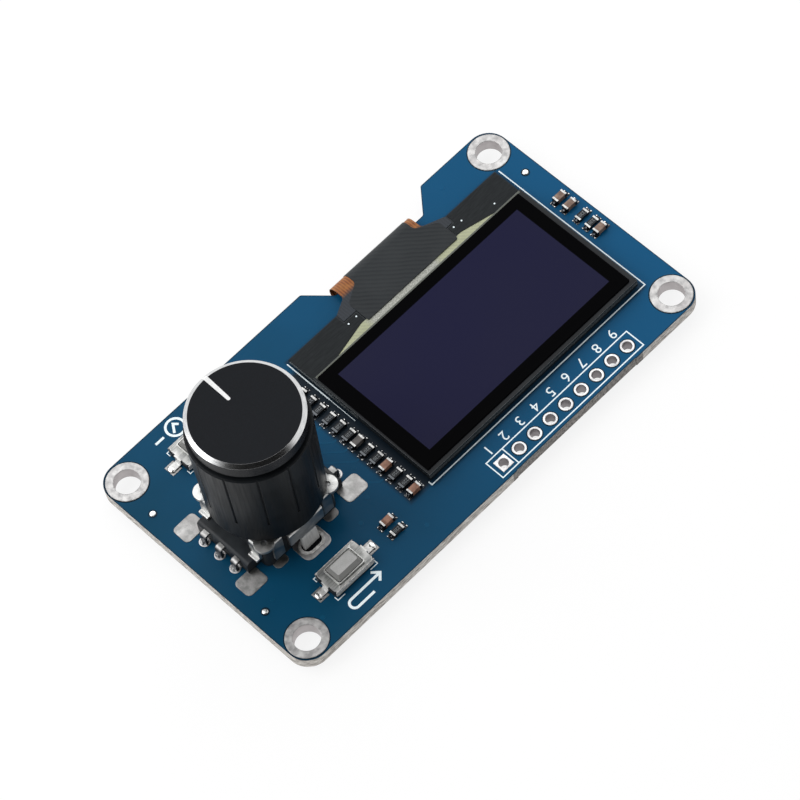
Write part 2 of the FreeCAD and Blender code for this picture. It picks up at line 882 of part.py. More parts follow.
def encoder_cover():
    """One folded sheet: top plate, side walls, clamps and two board legs."""
    top = plate(rectangle(2 * clamp_face_x - 2 * sheet_thickness, 2 * wall_face_y - 2 * sheet_thickness),
                base_height, cover_top)
    pieces = [top]
    dimples = []
    for side_x in (-1, 1):
        for side_y in (-1, 1):
            x = side_x * (clamp_face_x + lobe_reach - lobe_radius)
            y = side_y * (wall_face_y + lobe_reach - lobe_radius)
            pieces.append(disc(lobe_radius, base_height, cover_top, x, y))
            dimples.append(disc(dimple_radius, cover_top - dimple_depth, cover_top, x, y))
    wall_start = lug_length / 2 + wall_slot_width
    wall_end = wall_length / 2
    wall = folded_wall(wall_face_y, wall_bottom)
    lug = folded_wall(lug_face_y, lug_bottom)
    tail = -board_thickness - tail_below_board
    leg = sharp([
        (lug_face_y - sheet_thickness, lug_bottom),
        (leg_face_y - sheet_thickness, leg_lean_end),
        (leg_face_y - sheet_thickness, tail),
        (leg_face_y, tail),
        (leg_face_y, leg_lean_end),
        (lug_face_y, lug_bottom),
    ])
    shelf = block(-lug_length / 2, lug_length / 2, wall_face_y - 2 * sheet_thickness,
                  lug_face_y - sheet_thickness, base_height, cover_top)
    wall_side = [
        section_along_x(wall, wall_start, wall_end),
        section_along_x(wall, -wall_end, -wall_start),
        section_along_x(lug, -lug_length / 2, lug_length / 2),
        section_along_x(leg, -leg_width / 2, leg_width / 2),
        shelf,
    ]
    pieces += wall_side
    pieces += [mirrored_y(piece) for piece in wall_side]
    for side in (-1, 1):
        clamp = clamp_section(side)
        for low_y in (clamp_offset, -clamp_offset - clamp_width):
            pieces.append(section_along_y(clamp, low_y, low_y + clamp_width))
    hole = disc(bushing_spigot_radius, base_height, cover_top)
    return at_encoder(joined(pieces).cut(Part.makeCompound(dimples + [hole])))


def clamp_section(side):
    """Section of a clamp, folded down and turned out to rest on the flange."""
    root = clamp_face_x - 2 * sheet_thickness
    inner = clamp_face_x - sheet_thickness
    toe = clamp_face_x + clamp_foot_length
    foot_top = flange_height + clamp_foot_thickness
    points = [
        (root, base_height, 0),
        (inner, base_height, 0),
        (inner, flange_height, 0),
        (toe, flange_height, 0),
        (toe, foot_top, 0.1),
        (clamp_face_x, foot_top, 0),
        (clamp_face_x, cover_top, sheet_fold_radius),
        (root, cover_top, 0),
    ]
    return [(side * x, z, radius) for x, z, radius in points]


def encoder_solder_joints():
    """Solder round each terminal and leg, through the board and beneath it."""
    top = 0.0
    under = -board_thickness - plating_thickness
    tip = under - joint_cone_height
    pieces = []
    for x, y in terminal_places:
        fill = disc(terminal_hole_radius, under, top, x, y)
        cone = Part.makeCone(terminal_width * 0.6, terminal_land_radius, joint_cone_height,
                             FreeCAD.Vector(x, y, tip))
        pin = block(x - terminal_thickness / 2, x + terminal_thickness / 2,
                    y - terminal_width / 2, y + terminal_width / 2, tip, top)
        pieces.append(at_encoder(joined([fill, cone]).cut(pin)))
    for side in (-1, 1):
        y = side * leg_slot_y
        slot = rectangle(leg_slot_length, leg_slot_width, leg_slot_width / 2 - 0.01, 0, y)
        crown = rectangle(leg_width + 0.3, 2 * sheet_thickness, 0.3, 0, y)
        foot = rectangle(leg_land_length - 0.3, leg_land_width - 0.6, 0.6, 0, y)
        fill = plate(slot, under, top)
        cone = taper(crown, foot, tip, under)
        leg = block(-leg_width / 2, leg_width / 2,
                    y - sheet_thickness / 2, y + sheet_thickness / 2, tip, top)
        pieces.append(at_encoder(joined([fill, cone]).cut(leg)))
    return pieces


def encoder_bushing():
    """Threaded bushing, its thread drawn plain, staked into the cover's plate."""
    bore = shaft_guide_radius + running_clearance
    rim_bottom = base_height - bushing_rim_thickness
    relief_start = cover_top + bushing_relief_width / 2
    relief_end = relief_start + bushing_relief_width
    relief = bushing_radius - bushing_relief_depth
    profile = [
        (bore, rim_bottom),
        (bushing_rim_radius, rim_bottom),
        (bushing_rim_radius, base_height),
        (bushing_spigot_radius, base_height),
        (bushing_spigot_radius, cover_top),
        (bushing_radius, cover_top),
        (bushing_radius, relief_start),
        (relief, relief_start),
        (relief, relief_end),
        (bushing_radius, relief_end),
        (bushing_radius, bushing_top - bushing_chamfer),
        (bushing_radius - bushing_chamfer, bushing_top),
        (bore, bushing_top),
    ]
    return at_encoder(turned(profile))


def spring_outer_radius():
    return rotor_cavity_radius + spring_ring_width / 2


def rotor_top():
    """Height of the rotor's rim, just under the arms of the detent spring."""
    return rotor_bottom() + rotor_disc_thickness + recess_depth()


def rotor_bottom():
    return rotor_cavity_floor + rotor_lift


def recess_depth():
    """Depth of the rotor's recess, in which the retaining ring sinks."""
    return push_travel + sliding_clearance


def ring_top():
    return base_height - bushing_rim_thickness - sliding_clearance


def encoder_shaft():
    """Keyed foot, guide, and a D-shaped tip for the knob."""
    foot = rotor_cavity_floor - rotor_lift
    ring_bottom = ring_top() - ring_thickness
    guide_bottom = ring_bottom - ring_thickness / 2
    groove = shaft_guide_radius - ring_groove_depth
    shoulder = bushing_top + push_travel + sliding_clearance
    profile = [
        (0, foot),
        (shaft_key_radius, foot),
        (shaft_key_radius, guide_bottom),
        (shaft_guide_radius, guide_bottom),
        (shaft_guide_radius, ring_bottom),
        (groove, ring_bottom),
        (groove, ring_top()),
        (shaft_guide_radius, ring_top()),
        (shaft_guide_radius, shoulder),
        (shaft_tip_radius, shoulder),
        (shaft_tip_radius, shaft_tip - shaft_chamfer),
        (shaft_tip_radius - shaft_chamfer, shaft_tip),
        (0, shaft_tip),
    ]
    solid = turned(profile)
    flat = block(shaft_flat_distance, 2 * shaft_tip_radius, -shaft_tip_radius, shaft_tip_radius,
                 shoulder + shaft_chamfer, shaft_tip)
    key_flats = []
    for side in (-1, 1):
        x0, x1 = sorted((side * shaft_key_flat, side * 2 * shaft_key_radius))
        key_flats.append(block(x0, x1, -shaft_key_radius, shaft_key_radius, foot, guide_bottom))
    return at_encoder(solid.cut(Part.makeCompound([flat] + key_flats)))


def shaft_retaining_ring():
    """Open ring in the shaft's groove, which holds the shaft in the bushing."""
    bottom = ring_top() - ring_thickness
    inner = shaft_guide_radius - ring_groove_depth
    band = ring(ring_radius, inner, bottom, ring_top())
    gap = block(0, 2 * ring_radius, -ring_opening / 2, ring_opening / 2, bottom, ring_top())
    return at_encoder(band.cut(gap))


def encoder_rotor():
    """Disc with a keyed bore, a recess for the ring and a rim of detents."""
    floor = rotor_bottom() + rotor_disc_thickness
    lip = rotor_cavity_floor + sliding_clearance
    recess = rotor_radius - rotor_rim_width
    bore = shaft_key_radius + sliding_clearance
    profile = [
        (0, rotor_bottom()),
        (rotor_radius - rotor_lip_width, rotor_bottom()),
        (rotor_radius - rotor_lip_width, lip),
        (rotor_radius, lip),
        (rotor_radius, rotor_top()),
        (recess, rotor_top()),
        (recess, floor),
        (0, floor),
    ]
    solid = turned(profile)
    key = disc(bore, rotor_bottom(), floor)
    flat = shaft_key_flat + sliding_clearance
    keyway = key.common(block(-flat, flat, -2 * bore, 2 * bore, rotor_bottom(), floor))
    ridges = []
    for index in range(detent_count):
        ridge = block(recess + 0.1, rotor_radius - 0.1, -detent_width / 2, detent_width / 2,
                      rotor_top(), rotor_top() + detent_height)
        ridges.append(turned_by(ridge, index * 360 / detent_count))
    return at_encoder(joined([solid.cut(keyway)] + ridges))


def encoder_wiper():
    """Thin ring under the rotor with three fingers that sweep the contacts."""
    top = rotor_bottom()
    bottom = top - wiper_thickness
    band = ring(wiper_outer_radius, wiper_inner_radius, bottom, top)
    tip = rotor_cavity_floor + contact_thickness + sliding_clearance / 2
    middle = (wiper_outer_radius + wiper_inner_radius) / 2
    fingers = []
    for index in range(3):
        finger = block(middle - wiper_finger_width / 4, middle + wiper_finger_width / 4,
                       -wiper_finger_width / 2, wiper_finger_width / 2, tip, bottom)
        fingers.append(turned_by(finger, 60 + index * 120))
    return at_encoder(joined([band] + fingers))


def encoder_contacts():
    """Three contact arcs on the floor of the rotor's cavity."""
    bottom = rotor_cavity_floor
    top = bottom + contact_thickness
    pieces = []
    for index in range(3):
        band = ring(contact_outer_radius, contact_inner_radius, bottom, top)
        keep = block(0, 2 * contact_outer_radius, 0, 2 * contact_outer_radius, bottom, top)
        pieces.append(at_encoder(band.common(turned_by(keep, index * 120))))
    return pieces


def encoder_detent_spring():
    """Ring clamped under the cover, with two arms that ride the detents."""
    outer = spring_outer_radius()
    inner = outer - spring_ring_width
    bottom = base_height - spring_thickness
    band = ring(outer, inner, bottom, base_height)
    tip = rotor_top() + detent_height + sliding_clearance / 2
    middle = rotor_radius - rotor_rim_width / 2
    start = inner + spring_ring_width / 4
    arms = []
    for side in (-1, 1):
        corners = sharp([
            (side * start, base_height),
            (side * start, bottom),
            (side * middle, tip),
            (side * (middle - 0.3), tip),
            (side * (middle - 0.3), tip + spring_thickness),
            (side * middle, tip + spring_thickness),
            (side * inner, base_height),
        ])
        arms.append(section_along_y(corners, -spring_arm_width / 2, spring_arm_width / 2))
    return at_encoder(joined([band] + arms))


def actuator_bottom():
    return rotor_cavity_floor - rotor_lift - actuator_thickness


def encoder_push_actuator():
    """Pad under the shaft's foot that presses the dome."""
    top = rotor_cavity_floor - rotor_lift
    return at_encoder(disc(actuator_radius, actuator_bottom(), top))


def dome(radius, thickness, foot, apex):
    """A thin spherical cap that stands on its rim."""
    height = apex - foot
    sphere_radius = (radius ** 2 + height ** 2) / (2 * height)
    center = FreeCAD.Vector(0, 0, apex - sphere_radius)
    outer = Part.makeSphere(sphere_radius, center)
    inner = Part.makeSphere(sphere_radius - thickness, center)
    return outer.cut(inner).common(disc(radius, foot, apex))


def encoder_push_dome():
    apex = actuator_bottom() - sliding_clearance
    return at_encoder(dome(push_dome_radius, push_dome_thickness, push_cavity_floor, apex))


# Knob, built about the encoder's axis


def knob_radius_at(height):
    """Outer radius of the knob's tapered body."""
    share = (height - knob_bottom) / knob_body_height
    return knob_base_radius + share * (knob_shoulder_radius - knob_base_radius)


def knob_body():
    """Hollow moulding with a boss for the shaft, ribs and twelve flutes."""
    spigot_top = cap_bottom + knob_spigot_height
    roof = knob_shoulder - knob_roof
    profile = [
        (0, roof),
        (knob_shoulder_radius - knob_wall, roof),
        (knob_base_radius - knob_wall, knob_bottom),
        (knob_base_radius, knob_bottom),
        (knob_shoulder_radius, knob_shoulder - knob_shoulder_break),
        (knob_shoulder_radius - knob_shoulder_break, knob_shoulder),
        (knob_neck_radius, knob_shoulder),
        (knob_neck_radius, cap_bottom),
        (knob_spigot_radius, cap_bottom),
        (knob_spigot_radius, spigot_top),
        (0, spigot_top),
    ]
    shell = turned(profile)
    bore_radius = shaft_tip_radius + knob_bore_clearance
    boss_radius = bore_radius + knob_boss_wall
    boss_bottom = bushing_top + knob_boss_gap
    boss = disc(boss_radius, boss_bottom, roof)
    ribs = []
    for index in range(knob_rib_count):
        rib = block(boss_radius - 0.1, knob_base_radius - knob_wall / 2,
                    -knob_rib_thickness / 2, knob_rib_thickness / 2,
                    boss_bottom + knob_rib_drop, roof)
        ribs.append(turned_by(rib, 45 + index * 360 / knob_rib_count))
    bore_top = shaft_tip + knob_bore_headroom
    round_bore = disc(bore_radius, boss_bottom, bore_top)
    flat_start = shaft_flat_distance + knob_bore_clearance
    shoulder = bushing_top + push_travel + sliding_clearance
    flat = block(flat_start, 2 * bore_radius, -bore_radius, bore_radius,
                 shoulder + shaft_chamfer + sliding_clearance, bore_top)
    solid = joined([shell, boss] + ribs).cut(round_bore.cut(flat))
    return at_encoder(solid.cut(Part.makeCompound(knob_flutes())))


def knob_flutes():
    """Thin V grooves down the knob's side, parallel to its taper."""
    start = knob_bottom + knob_flute_start
    low = knob_radius_at(start)
    high = knob_radius_at(knob_shoulder + knob_neck_height)
    reach = knob_flute_depth
    triangle = [
        FreeCAD.Vector(low - knob_flute_depth, 0, start),
        FreeCAD.Vector(low + reach, -knob_flute_width, start),
        FreeCAD.Vector(low + reach, knob_flute_width, start),
    ]
    face = Part.Face(Part.makePolygon(triangle + triangle[:1]))
    rise = knob_shoulder + knob_neck_height - start
    groove = face.extrude(FreeCAD.Vector(high - low, 0, rise))
    flutes = []
    for index in range(knob_flute_count):
        angle = knob_flute_first_angle + index * 360 / knob_flute_count
        flutes.append(turned_by(groove, angle))
    return flutes


def cap_blank():
    """The cap before the pointer's groove is cut: a disc with a bright chamfer."""
    spigot = knob_spigot_radius + cap_fit
    spigot_top = cap_bottom + knob_spigot_height + cap_fit
    profile = [
        (0, spigot_top),
        (spigot, spigot_top),
        (spigot, cap_bottom),
        (cap_radius - cap_lower_break, cap_bottom),
        (cap_radius, cap_bottom + cap_lower_break),
        (cap_radius, cap_top - cap_chamfer_height),
        (cap_top_radius, cap_top),
        (0, cap_top),
    ]
    return turned(profile)


def pointer_bar():
    """A slim bar from near the middle of the cap out over its rim, close to -Y."""
    inner = pointer_inner_width / 2
    outer = pointer_width / 2
    corners = [
        (-inner, -pointer_start, inner * 0.98),
        (-outer, -cap_radius - 1, 0),
        (outer, -cap_radius - 1, 0),
        (inner, -pointer_start, inner * 0.98),
    ]
    bar = plate(corners, cap_top - pointer_depth, cap_top)
    return turned_by(bar, pointer_turn)


def knob_cap():
    return at_encoder(cap_blank().cut(pointer_bar()))


def knob_pointer():
    return at_encoder(cap_blank().common(pointer_bar()))


# Keys, each built about its own axis with the top of the board at height 0


def key_lead_sections():
    """Section of the +X lead: level in the base, then down to its land."""
    root = key_base_length / 2 - key_lead_embedded
    edge = key_base_length / 2
    toe = edge + key_lead_reach
    low = plating_thickness
    level = key_floor + low
    knee = edge + key_pad_gap
    return sharp([
        (root, level),
        (edge, level),
        (knee, low),
        (toe, low),
        (toe, low + key_lead_thickness),
        (knee, low + key_lead_thickness),
        (edge, level + key_lead_thickness),
        (root, level + key_lead_thickness),
    ])


def key_lead(side):
    corners = [(side * x, z, radius) for x, z, radius in key_lead_sections()]
    return section_along_y(corners, -key_lead_width / 2, key_lead_width / 2)


def key_leads(x, y):
    return [on_board(key_lead(side), x, y) for side in (-1, 1)]


def key_base(x, y):
    """A low black box, open on top, with slots for the cover's side tabs."""
    solid = plate(rectangle(key_base_length, key_base_width, key_corner_radius), 0, key_base_height)
    cavity = plate(rectangle(key_cavity_length, key_cavity_width, 0.3), key_floor, key_base_height)
    cuts = [cavity]
    cuts += [key_lead(side) for side in (-1, 1)]
    return on_board(solid.cut(Part.makeCompound(cuts)), x, y)


def key_cover(x, y):
    """A pressed plate with a raised rim round its window and two side tabs."""
    top = key_base_height + key_cover_thickness
    rim_top = top + key_rim_height
    sheet = plate(rectangle(key_cover_length, key_cover_width, 0.4), key_base_height, top)
    rim = plate(rectangle(key_rim_length, key_rim_width, 0.3), top, rim_top)
    pieces = [sheet, rim]
    edge = key_base_length / 2
    bottom = plating_thickness + key_floor + key_lead_thickness + key_tab_gap
    for side in (-1, 1):
        x0, x1 = sorted((side * (key_cover_length / 2 - 0.2), side * (edge + key_tab_thickness)))
        pieces.append(block(x0, x1, -key_tab_width / 2, key_tab_width / 2, key_base_height, top))
        x0, x1 = sorted((side * edge, side * (edge + key_tab_thickness)))
        pieces.append(block(x0, x1, -key_tab_width / 2, key_tab_width / 2, bottom, key_base_height))
    window = plate(rectangle(key_window_length, key_window_width, 0.2), key_base_height, rim_top)
    return on_board(joined(pieces).cut(window), x, y)


def plunger_flange_bottom():
    """The flange's underside, which leaves the dome room when the key is down."""
    return key_floor + key_dome_pressed_height + key_travel


def key_plunger(x, y):
    """A sloped button whose flange is caught under the cover."""
    length = key_window_length - 2 * plunger_window_gap
    width = key_window_width - 2 * plunger_window_gap
    flange_length = key_cavity_length - 2 * plunger_flange_margin
    flange_width = key_cavity_width - 2 * plunger_flange_margin
    bottom = plunger_flange_bottom()
    flange_top = key_base_height - plunger_gap
    flange = plate(rectangle(flange_length, flange_width, 0.2), bottom, flange_top)
    neck = plate(rectangle(length, width, 0.2), flange_top, plunger_shoulder_height)
    crown = taper(rectangle(length, width, 0.2), rectangle(plunger_top_length, plunger_top_width, 0.2),
                  plunger_shoulder_height, plunger_top_height)
    return on_board(joined([flange, neck, crown]), x, y)


def key_dome(x, y):
    apex = plunger_flange_bottom() - key_dome_gap
    return on_board(dome(key_dome_radius, key_dome_thickness, key_floor, apex), x, y)


# Chips


def chip_body(x, y, height):
    """The ceramic between a chip's two end caps."""
    length = chip_length - 2 * chip_cap_length
    bottom = plating_thickness + chip_cap_thickness
    body = plate(rectangle(length, chip_width), bottom, plating_thickness + height)
    return on_board(body, x, y)


def chip_caps(x, y, height):
    """The two tinned end caps of a chip."""
    offset = (chip_length - chip_cap_length) / 2
    width = chip_width + 2 * chip_cap_thickness
    top = plating_thickness + height + chip_cap_thickness
    pieces = []
    for side in (-1, 1):
        cap = plate(rectangle(chip_cap_length, width, 0, side * offset), plating_thickness, top)
        pieces.append(on_board(cap, x, y))
    return pieces


def chip_end_caps():
    pieces = []
    for x, y in resistor_places:
        pieces += chip_caps(x, y, resistor_height)
    for x, y in capacitor_places:
        pieces += chip_caps(x, y, capacitor_height)
    return pieces


os.makedirs("parts", exist_ok=True)

save("circuit_board", [circuit_board()])
save("mounting_hole_plating", mounting_hole_plating())
save("pin_hole_plating", pin_hole_plating())
save("solder_pads", solder_pads())

save("display_tape", [display_tape()])
save("display_rear_glass", [display_rear_glass()])
save("display_cover_glass", [display_cover_glass()])
save("display_polarizer", [display_polarizer()])
save("display_ledge_tape", display_ledge_tape())
save("flex_cable", [flex_cable()])
save("flex_cover", [flex_cover()])
save("display_driver_chip", [display_driver_chip()])
save("flex_solder_joints", flex_solder_joints())

save("encoder_base", [encoder_base()])
save("encoder_cover", [encoder_cover()])
save("encoder_bushing", [encoder_bushing()])
save("encoder_terminals", encoder_terminals())
save("encoder_contacts", encoder_contacts())
save("encoder_solder_joints", encoder_solder_joints())
save("encoder_shaft", [encoder_shaft()])
save("shaft_retaining_ring", [shaft_retaining_ring()])
save("encoder_rotor", [encoder_rotor()])
save("encoder_wiper", [encoder_wiper()])
save("encoder_detent_spring", [encoder_detent_spring()])
save("encoder_push_actuator", [encoder_push_actuator()])
save("encoder_push_dome", [encoder_push_dome()])

save("knob_body", [knob_body()])
save("knob_cap", [knob_cap()])
save("knob_pointer", [knob_pointer()])

for name, (place_x, place_y) in key_places.items():
    save(name + "_base", [key_base(place_x, place_y)])
    save(name + "_cover", [key_cover(place_x, place_y)])
    save(name + "_plunger", [key_plunger(place_x, place_y)])
    save(name + "_dome", [key_dome(place_x, place_y)])
    save(name + "_leads", key_leads(place_x, place_y))

for number, (place_x, place_y) in enumerate(resistor_places, start=1):
    save("resistor_" + str(number), [chip_body(place_x, place_y, resistor_height)])
for number, (place_x, place_y) in enumerate(capacitor_places, start=1):
    save("capacitor_" + str(number), [chip_body(place_x, place_y, capacitor_height)])
save("chip_end_caps", chip_end_caps())
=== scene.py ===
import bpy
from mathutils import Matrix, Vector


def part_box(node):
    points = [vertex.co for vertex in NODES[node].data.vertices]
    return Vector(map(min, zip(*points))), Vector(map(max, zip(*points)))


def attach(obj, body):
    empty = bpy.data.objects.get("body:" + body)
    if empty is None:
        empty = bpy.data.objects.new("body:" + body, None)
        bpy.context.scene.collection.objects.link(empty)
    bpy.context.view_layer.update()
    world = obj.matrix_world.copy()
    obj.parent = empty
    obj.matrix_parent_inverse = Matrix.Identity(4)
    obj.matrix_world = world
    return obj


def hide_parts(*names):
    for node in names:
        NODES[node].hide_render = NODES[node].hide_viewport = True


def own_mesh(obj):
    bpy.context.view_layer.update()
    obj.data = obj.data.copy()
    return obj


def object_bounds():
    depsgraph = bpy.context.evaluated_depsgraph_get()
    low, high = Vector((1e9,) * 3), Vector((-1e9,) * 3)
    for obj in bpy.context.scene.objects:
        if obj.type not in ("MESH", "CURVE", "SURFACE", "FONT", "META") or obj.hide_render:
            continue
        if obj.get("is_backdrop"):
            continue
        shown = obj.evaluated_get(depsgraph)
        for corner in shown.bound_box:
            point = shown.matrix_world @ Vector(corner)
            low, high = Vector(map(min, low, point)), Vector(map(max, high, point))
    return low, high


bl_info = {
    "name": "Display module with push encoder",
    "version": (1, 0, 0),
    "blender": (4, 5, 0),
    "location": "3D View > Sidebar > Display Module",
    "description": "Dresses a small display module: board, display, cable, encoder, knob, keys and chips",
    "category": "Object",
}

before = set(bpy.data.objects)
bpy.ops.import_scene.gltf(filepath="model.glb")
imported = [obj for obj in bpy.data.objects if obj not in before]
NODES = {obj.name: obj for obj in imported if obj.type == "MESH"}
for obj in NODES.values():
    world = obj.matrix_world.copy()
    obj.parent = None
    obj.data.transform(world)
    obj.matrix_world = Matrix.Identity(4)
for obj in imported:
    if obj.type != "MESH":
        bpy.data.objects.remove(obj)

import math

import bmesh
import bpy
from mathutils import Matrix, Vector

# Everything is in metres. Sizes that read better in millimetres are written
# as a number times MM.
MM = 0.001

CHIPS = sorted(name for name in NODES if name.startswith(("resistor_", "capacitor_")))
RESISTORS = [name for name in CHIPS if name.startswith("resistor_")]
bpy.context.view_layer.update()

BOARD_LOW, BOARD_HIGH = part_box("circuit_board")
BOARD_TOP = BOARD_HIGH.z
# Solder on the lands starts this high
LAND_TOP = BOARD_TOP + 0.05 * MM
# Lacquered lines rise this far from the board's face
LINE_RISE = 0.012 * MM
# Printed lines that cross differ this much in height, so their faces don't meet in one plane
CROSSING_STEP = 0.002 * MM
# Radius of the tinned land about a pin hole
PIN_LAND = 0.85 * MM
PANEL_LOW, PANEL_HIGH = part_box("display_cover_glass")
LEDGE_LOW, LEDGE_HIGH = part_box("display_rear_glass")
FILM_LOW, FILM_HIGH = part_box("display_polarizer")
STRIP_LOW, STRIP_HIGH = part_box("flex_cover")
CAP_LOW, CAP_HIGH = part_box("knob_cap")
BUSHING_LOW, BUSHING_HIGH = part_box("encoder_bushing")
ENCODER_X = (CAP_LOW.x + CAP_HIGH.x) / 2
ENCODER_Y = (CAP_LOW.y + CAP_HIGH.y) / 2


def linear(hex_text):
    """The linear colour of an sRGB hex value such as #1d4a70."""
    values = []
    for start in (1, 3, 5):
        value = int(hex_text[start:start + 2], 16) / 255
        values.append(value / 12.92 if value <= 0.04045 else ((value + 0.055) / 1.055) ** 2.4)
    return tuple(values)


def colour(tone):
    """A socket's colour, from an sRGB hex value or from a setting, which is linear already."""
    return (*(linear(tone) if isinstance(tone, str) else tone), 1.0)


def colour_setting(name, description, hex_text):
    """A setting that holds a colour."""
    return bpy.props.FloatVectorProperty(
        name=name, description=description, subtype="COLOR", size=3, default=linear(hex_text))


def length_setting(name, description, size):
    """A setting that holds a length, which starts at a size in millimetres."""
    return bpy.props.FloatProperty(
        name=name, description=description, subtype="DISTANCE", unit="LENGTH", default=size * MM)


class BoardFinish(bpy.types.PropertyGroup):
    """Colours and print sizes of the circuit board"""

    mask: colour_setting("Solder mask", "Colour of the glossy lacquer over the laminate", "#0b3d56")
    # Painted sheen: the lighter blue painted towards the far end of the board
    mask_far: colour_setting(
        "Far solder mask", "Colour of the lacquer at the far end of the board", "#0c4d74")
    # Painted shade: the darker blue painted round the chips and beside the panel
    mask_deep: colour_setting(
        "Deep solder mask", "Colour of the lacquer where no copper lies under it", "#16212b")
    laminate: colour_setting("Laminate", "Colour of the scored glass fibre edges", "#c4bfb9")
    ink: colour_setting("Ink", "Colour of the printed lines and digits", "#eef8fb")
    line_width: length_setting("Line width", "Width of a printed line", 0.15)
    digit_height: length_setting("Digit height", "Height of the digits beside the pin holes", 1.3)
    ink_thickness: length_setting("Ink thickness", "How far the print stands above the lacquer", 0.015)


class PanelFinish(bpy.types.PropertyGroup):
    """Colours and sizes of the display panel"""

    picture: colour_setting("Picture area", "Colour of the unlit pixels", "#21213a")
    picture_length: length_setting("Picture length", "Length of the pixel area", 29.42)
    picture_width: length_setting("Picture width", "Width of the pixel area", 14.7)
    film: colour_setting("Polarizer", "Colour of the film round the picture", "#010102")
    ledge: colour_setting("Glass ledge", "Colour of the bare glass beside the cable", "#a6aa8a")


class KnobFinish(bpy.types.PropertyGroup):
    """Colours of the knob"""

    moulding: colour_setting("Moulding", "Colour of the ribbed body", "#111315")
    cap: colour_setting("Cap", "Colour of the anodised top", "#16181b")
    chamfer_height: length_setting("Chamfer height", "Height of the bright cut round the cap's top", 0.37)


class SolderFinish(bpy.types.PropertyGroup):
    """Sizes of the solder at the chips"""

    blob_length: length_setting("Blob length", "How far the solder runs out from a chip's end", 0.34)
    blob_width: length_setting("Blob width", "Width of the solder at a chip's end", 0.8)
    blob_height: length_setting("Blob height", "How far the solder climbs a chip's end", 0.26)
    bead_size: length_setting("Bead size", "Width of the beads at the outer corners of a chip's lands", 0.26)


class StudioSettings(bpy.types.PropertyGroup):
    """Light levels of the studio"""

    sky: bpy.props.FloatProperty(
        name="Sky", description="Strength of the even light from all round", default=0.55)
    key_power: bpy.props.FloatProperty(
        name="Key light", description="Power of the large soft box, in watts", default=2.2)
    fill_power: bpy.props.FloatProperty(
        name="Fill light", description="Power of the soft box behind the board, in watts", default=1.6)


# Shader helpers

# Kinds of shader node that the materials share
NOISE = "ShaderNodeTexNoise"
WAVE = "ShaderNodeTexWave"
RAMP = "ShaderNodeValToRGB"
RANGE = "ShaderNodeMapRange"
MIX = "ShaderNodeMix"
MATH = "ShaderNodeMath"
VECTOR = "ShaderNodeVectorMath"
SPLIT = "ShaderNodeSeparateXYZ"
BUMP = "ShaderNodeBump"
BEVEL = "ShaderNodeBevel"
GEOMETRY = "ShaderNodeNewGeometry"
SPECULAR = "Specular IOR Level"


def add_node(tree, kind, inputs=None, output=0, stops=(), **settings):
    """Adds a node with its settings, colour stops, values and links, and gives back one of its outputs."""
    node = tree.nodes.new(kind)
    for name, value in settings.items():
        setattr(node, name, value)
    for index, (position, tone) in enumerate(stops):
        ramp = node.color_ramp.elements
        stop = ramp[index] if index < 2 else ramp.new(position)
        stop.position = position
        stop.color = colour(tone)
    fill_inputs(tree, node, inputs or {})
    return node.outputs[output]


def fill_inputs(tree, node, inputs):
    """Gives each input that is named a value or a link."""
    for name, value in inputs.items():
        if isinstance(value, bpy.types.NodeSocket):
            tree.links.new(value, node.inputs[name])
        else:
            node.inputs[name].default_value = value


def start_material(name, stretch=(1, 1, 1)):
    """A new material, its node tree and the place on the object in millimetres."""
    material = bpy.data.materials.new(name)
    material.use_nodes = True
    return material, material.node_tree, millimetres(material.node_tree, stretch)


def finish_material(material, tone, roughness, height, depth, others=None, rounding=0.0):
    """Sets the shader's own sockets. The relief's depth and the edges' rounding are in millimetres.

    A roughness that isn't even is given as the grain that it follows, its lowest and its highest.
    """
    tree = material.node_tree
    if isinstance(roughness, tuple):
        grain, low, high = roughness
        roughness = add_node(tree, RANGE, {0: grain, 1: 0.35, 2: 0.65, 3: low, 4: high})
    relief = {"Height": height, "Distance": depth * MM}
    if rounding:
        relief["Normal"] = add_node(tree, BEVEL, {"Radius": rounding * MM}, samples=4)
    sockets = {"Base Color": tone, "Roughness": roughness, "Normal": add_node(tree, BUMP, relief)}
    fill_inputs(tree, tree.nodes["Principled BSDF"], {**sockets, **(others or {})})
    return material


def millimetres(tree, stretch=(1, 1, 1)):
    """Object coordinates in millimetres, so a pattern's scale is one over its real size."""
    place = add_node(tree, "ShaderNodeTexCoord", output="Object")
    scale = [value / MM for value in stretch]
    return add_node(tree, "ShaderNodeMapping", {"Vector": place, "Scale": scale})


def band_scale(pitch):
    """A wave texture's scale for bands some millimetres apart: it runs 20 radians for each unit of place."""
    return math.tau / pitch / 20


def striped(tree, place, pitch, direction, stops, **inputs):
    """Bands a pitch in millimetres apart, and a tone that changes across each of them."""
    inputs = {"Vector": place, "Scale": band_scale(pitch), **inputs}
    bands = add_node(tree, WAVE, inputs, "Fac", bands_direction=direction)
    return bands, add_node(tree, RAMP, {0: bands}, stops=stops)


def mottled(tree, place, size, low, high, detail=2.0, roughness=0.5, start=0.35, end=0.65):
    """A grain of a size in millimetres, and two tones that follow it."""
    inputs = {"Vector": place, "Scale": 1 / size, "Detail": detail, "Roughness": roughness}
    grain = add_node(tree, NOISE, inputs)
    return grain, add_node(tree, RAMP, {0: grain}, stops=((start, low), (end, high)))


def clouded(tree, place, size, tone, other, most, detail=2.0, roughness=0.5, start=0.35, end=0.65):
    """Clouds of a size in millimetres, and a tone that drifts with them to another by a share at most."""
    inputs = {"Vector": place, "Scale": 1 / size, "Detail": detail, "Roughness": roughness}
    cloud = add_node(tree, NOISE, inputs)
    share = add_node(tree, RANGE, {0: cloud, 1: start, 2: end, 4: most})
    return cloud, add_node(tree, MIX, {0: share, 6: tone, 7: colour(other)}, 2, data_type="RGBA")


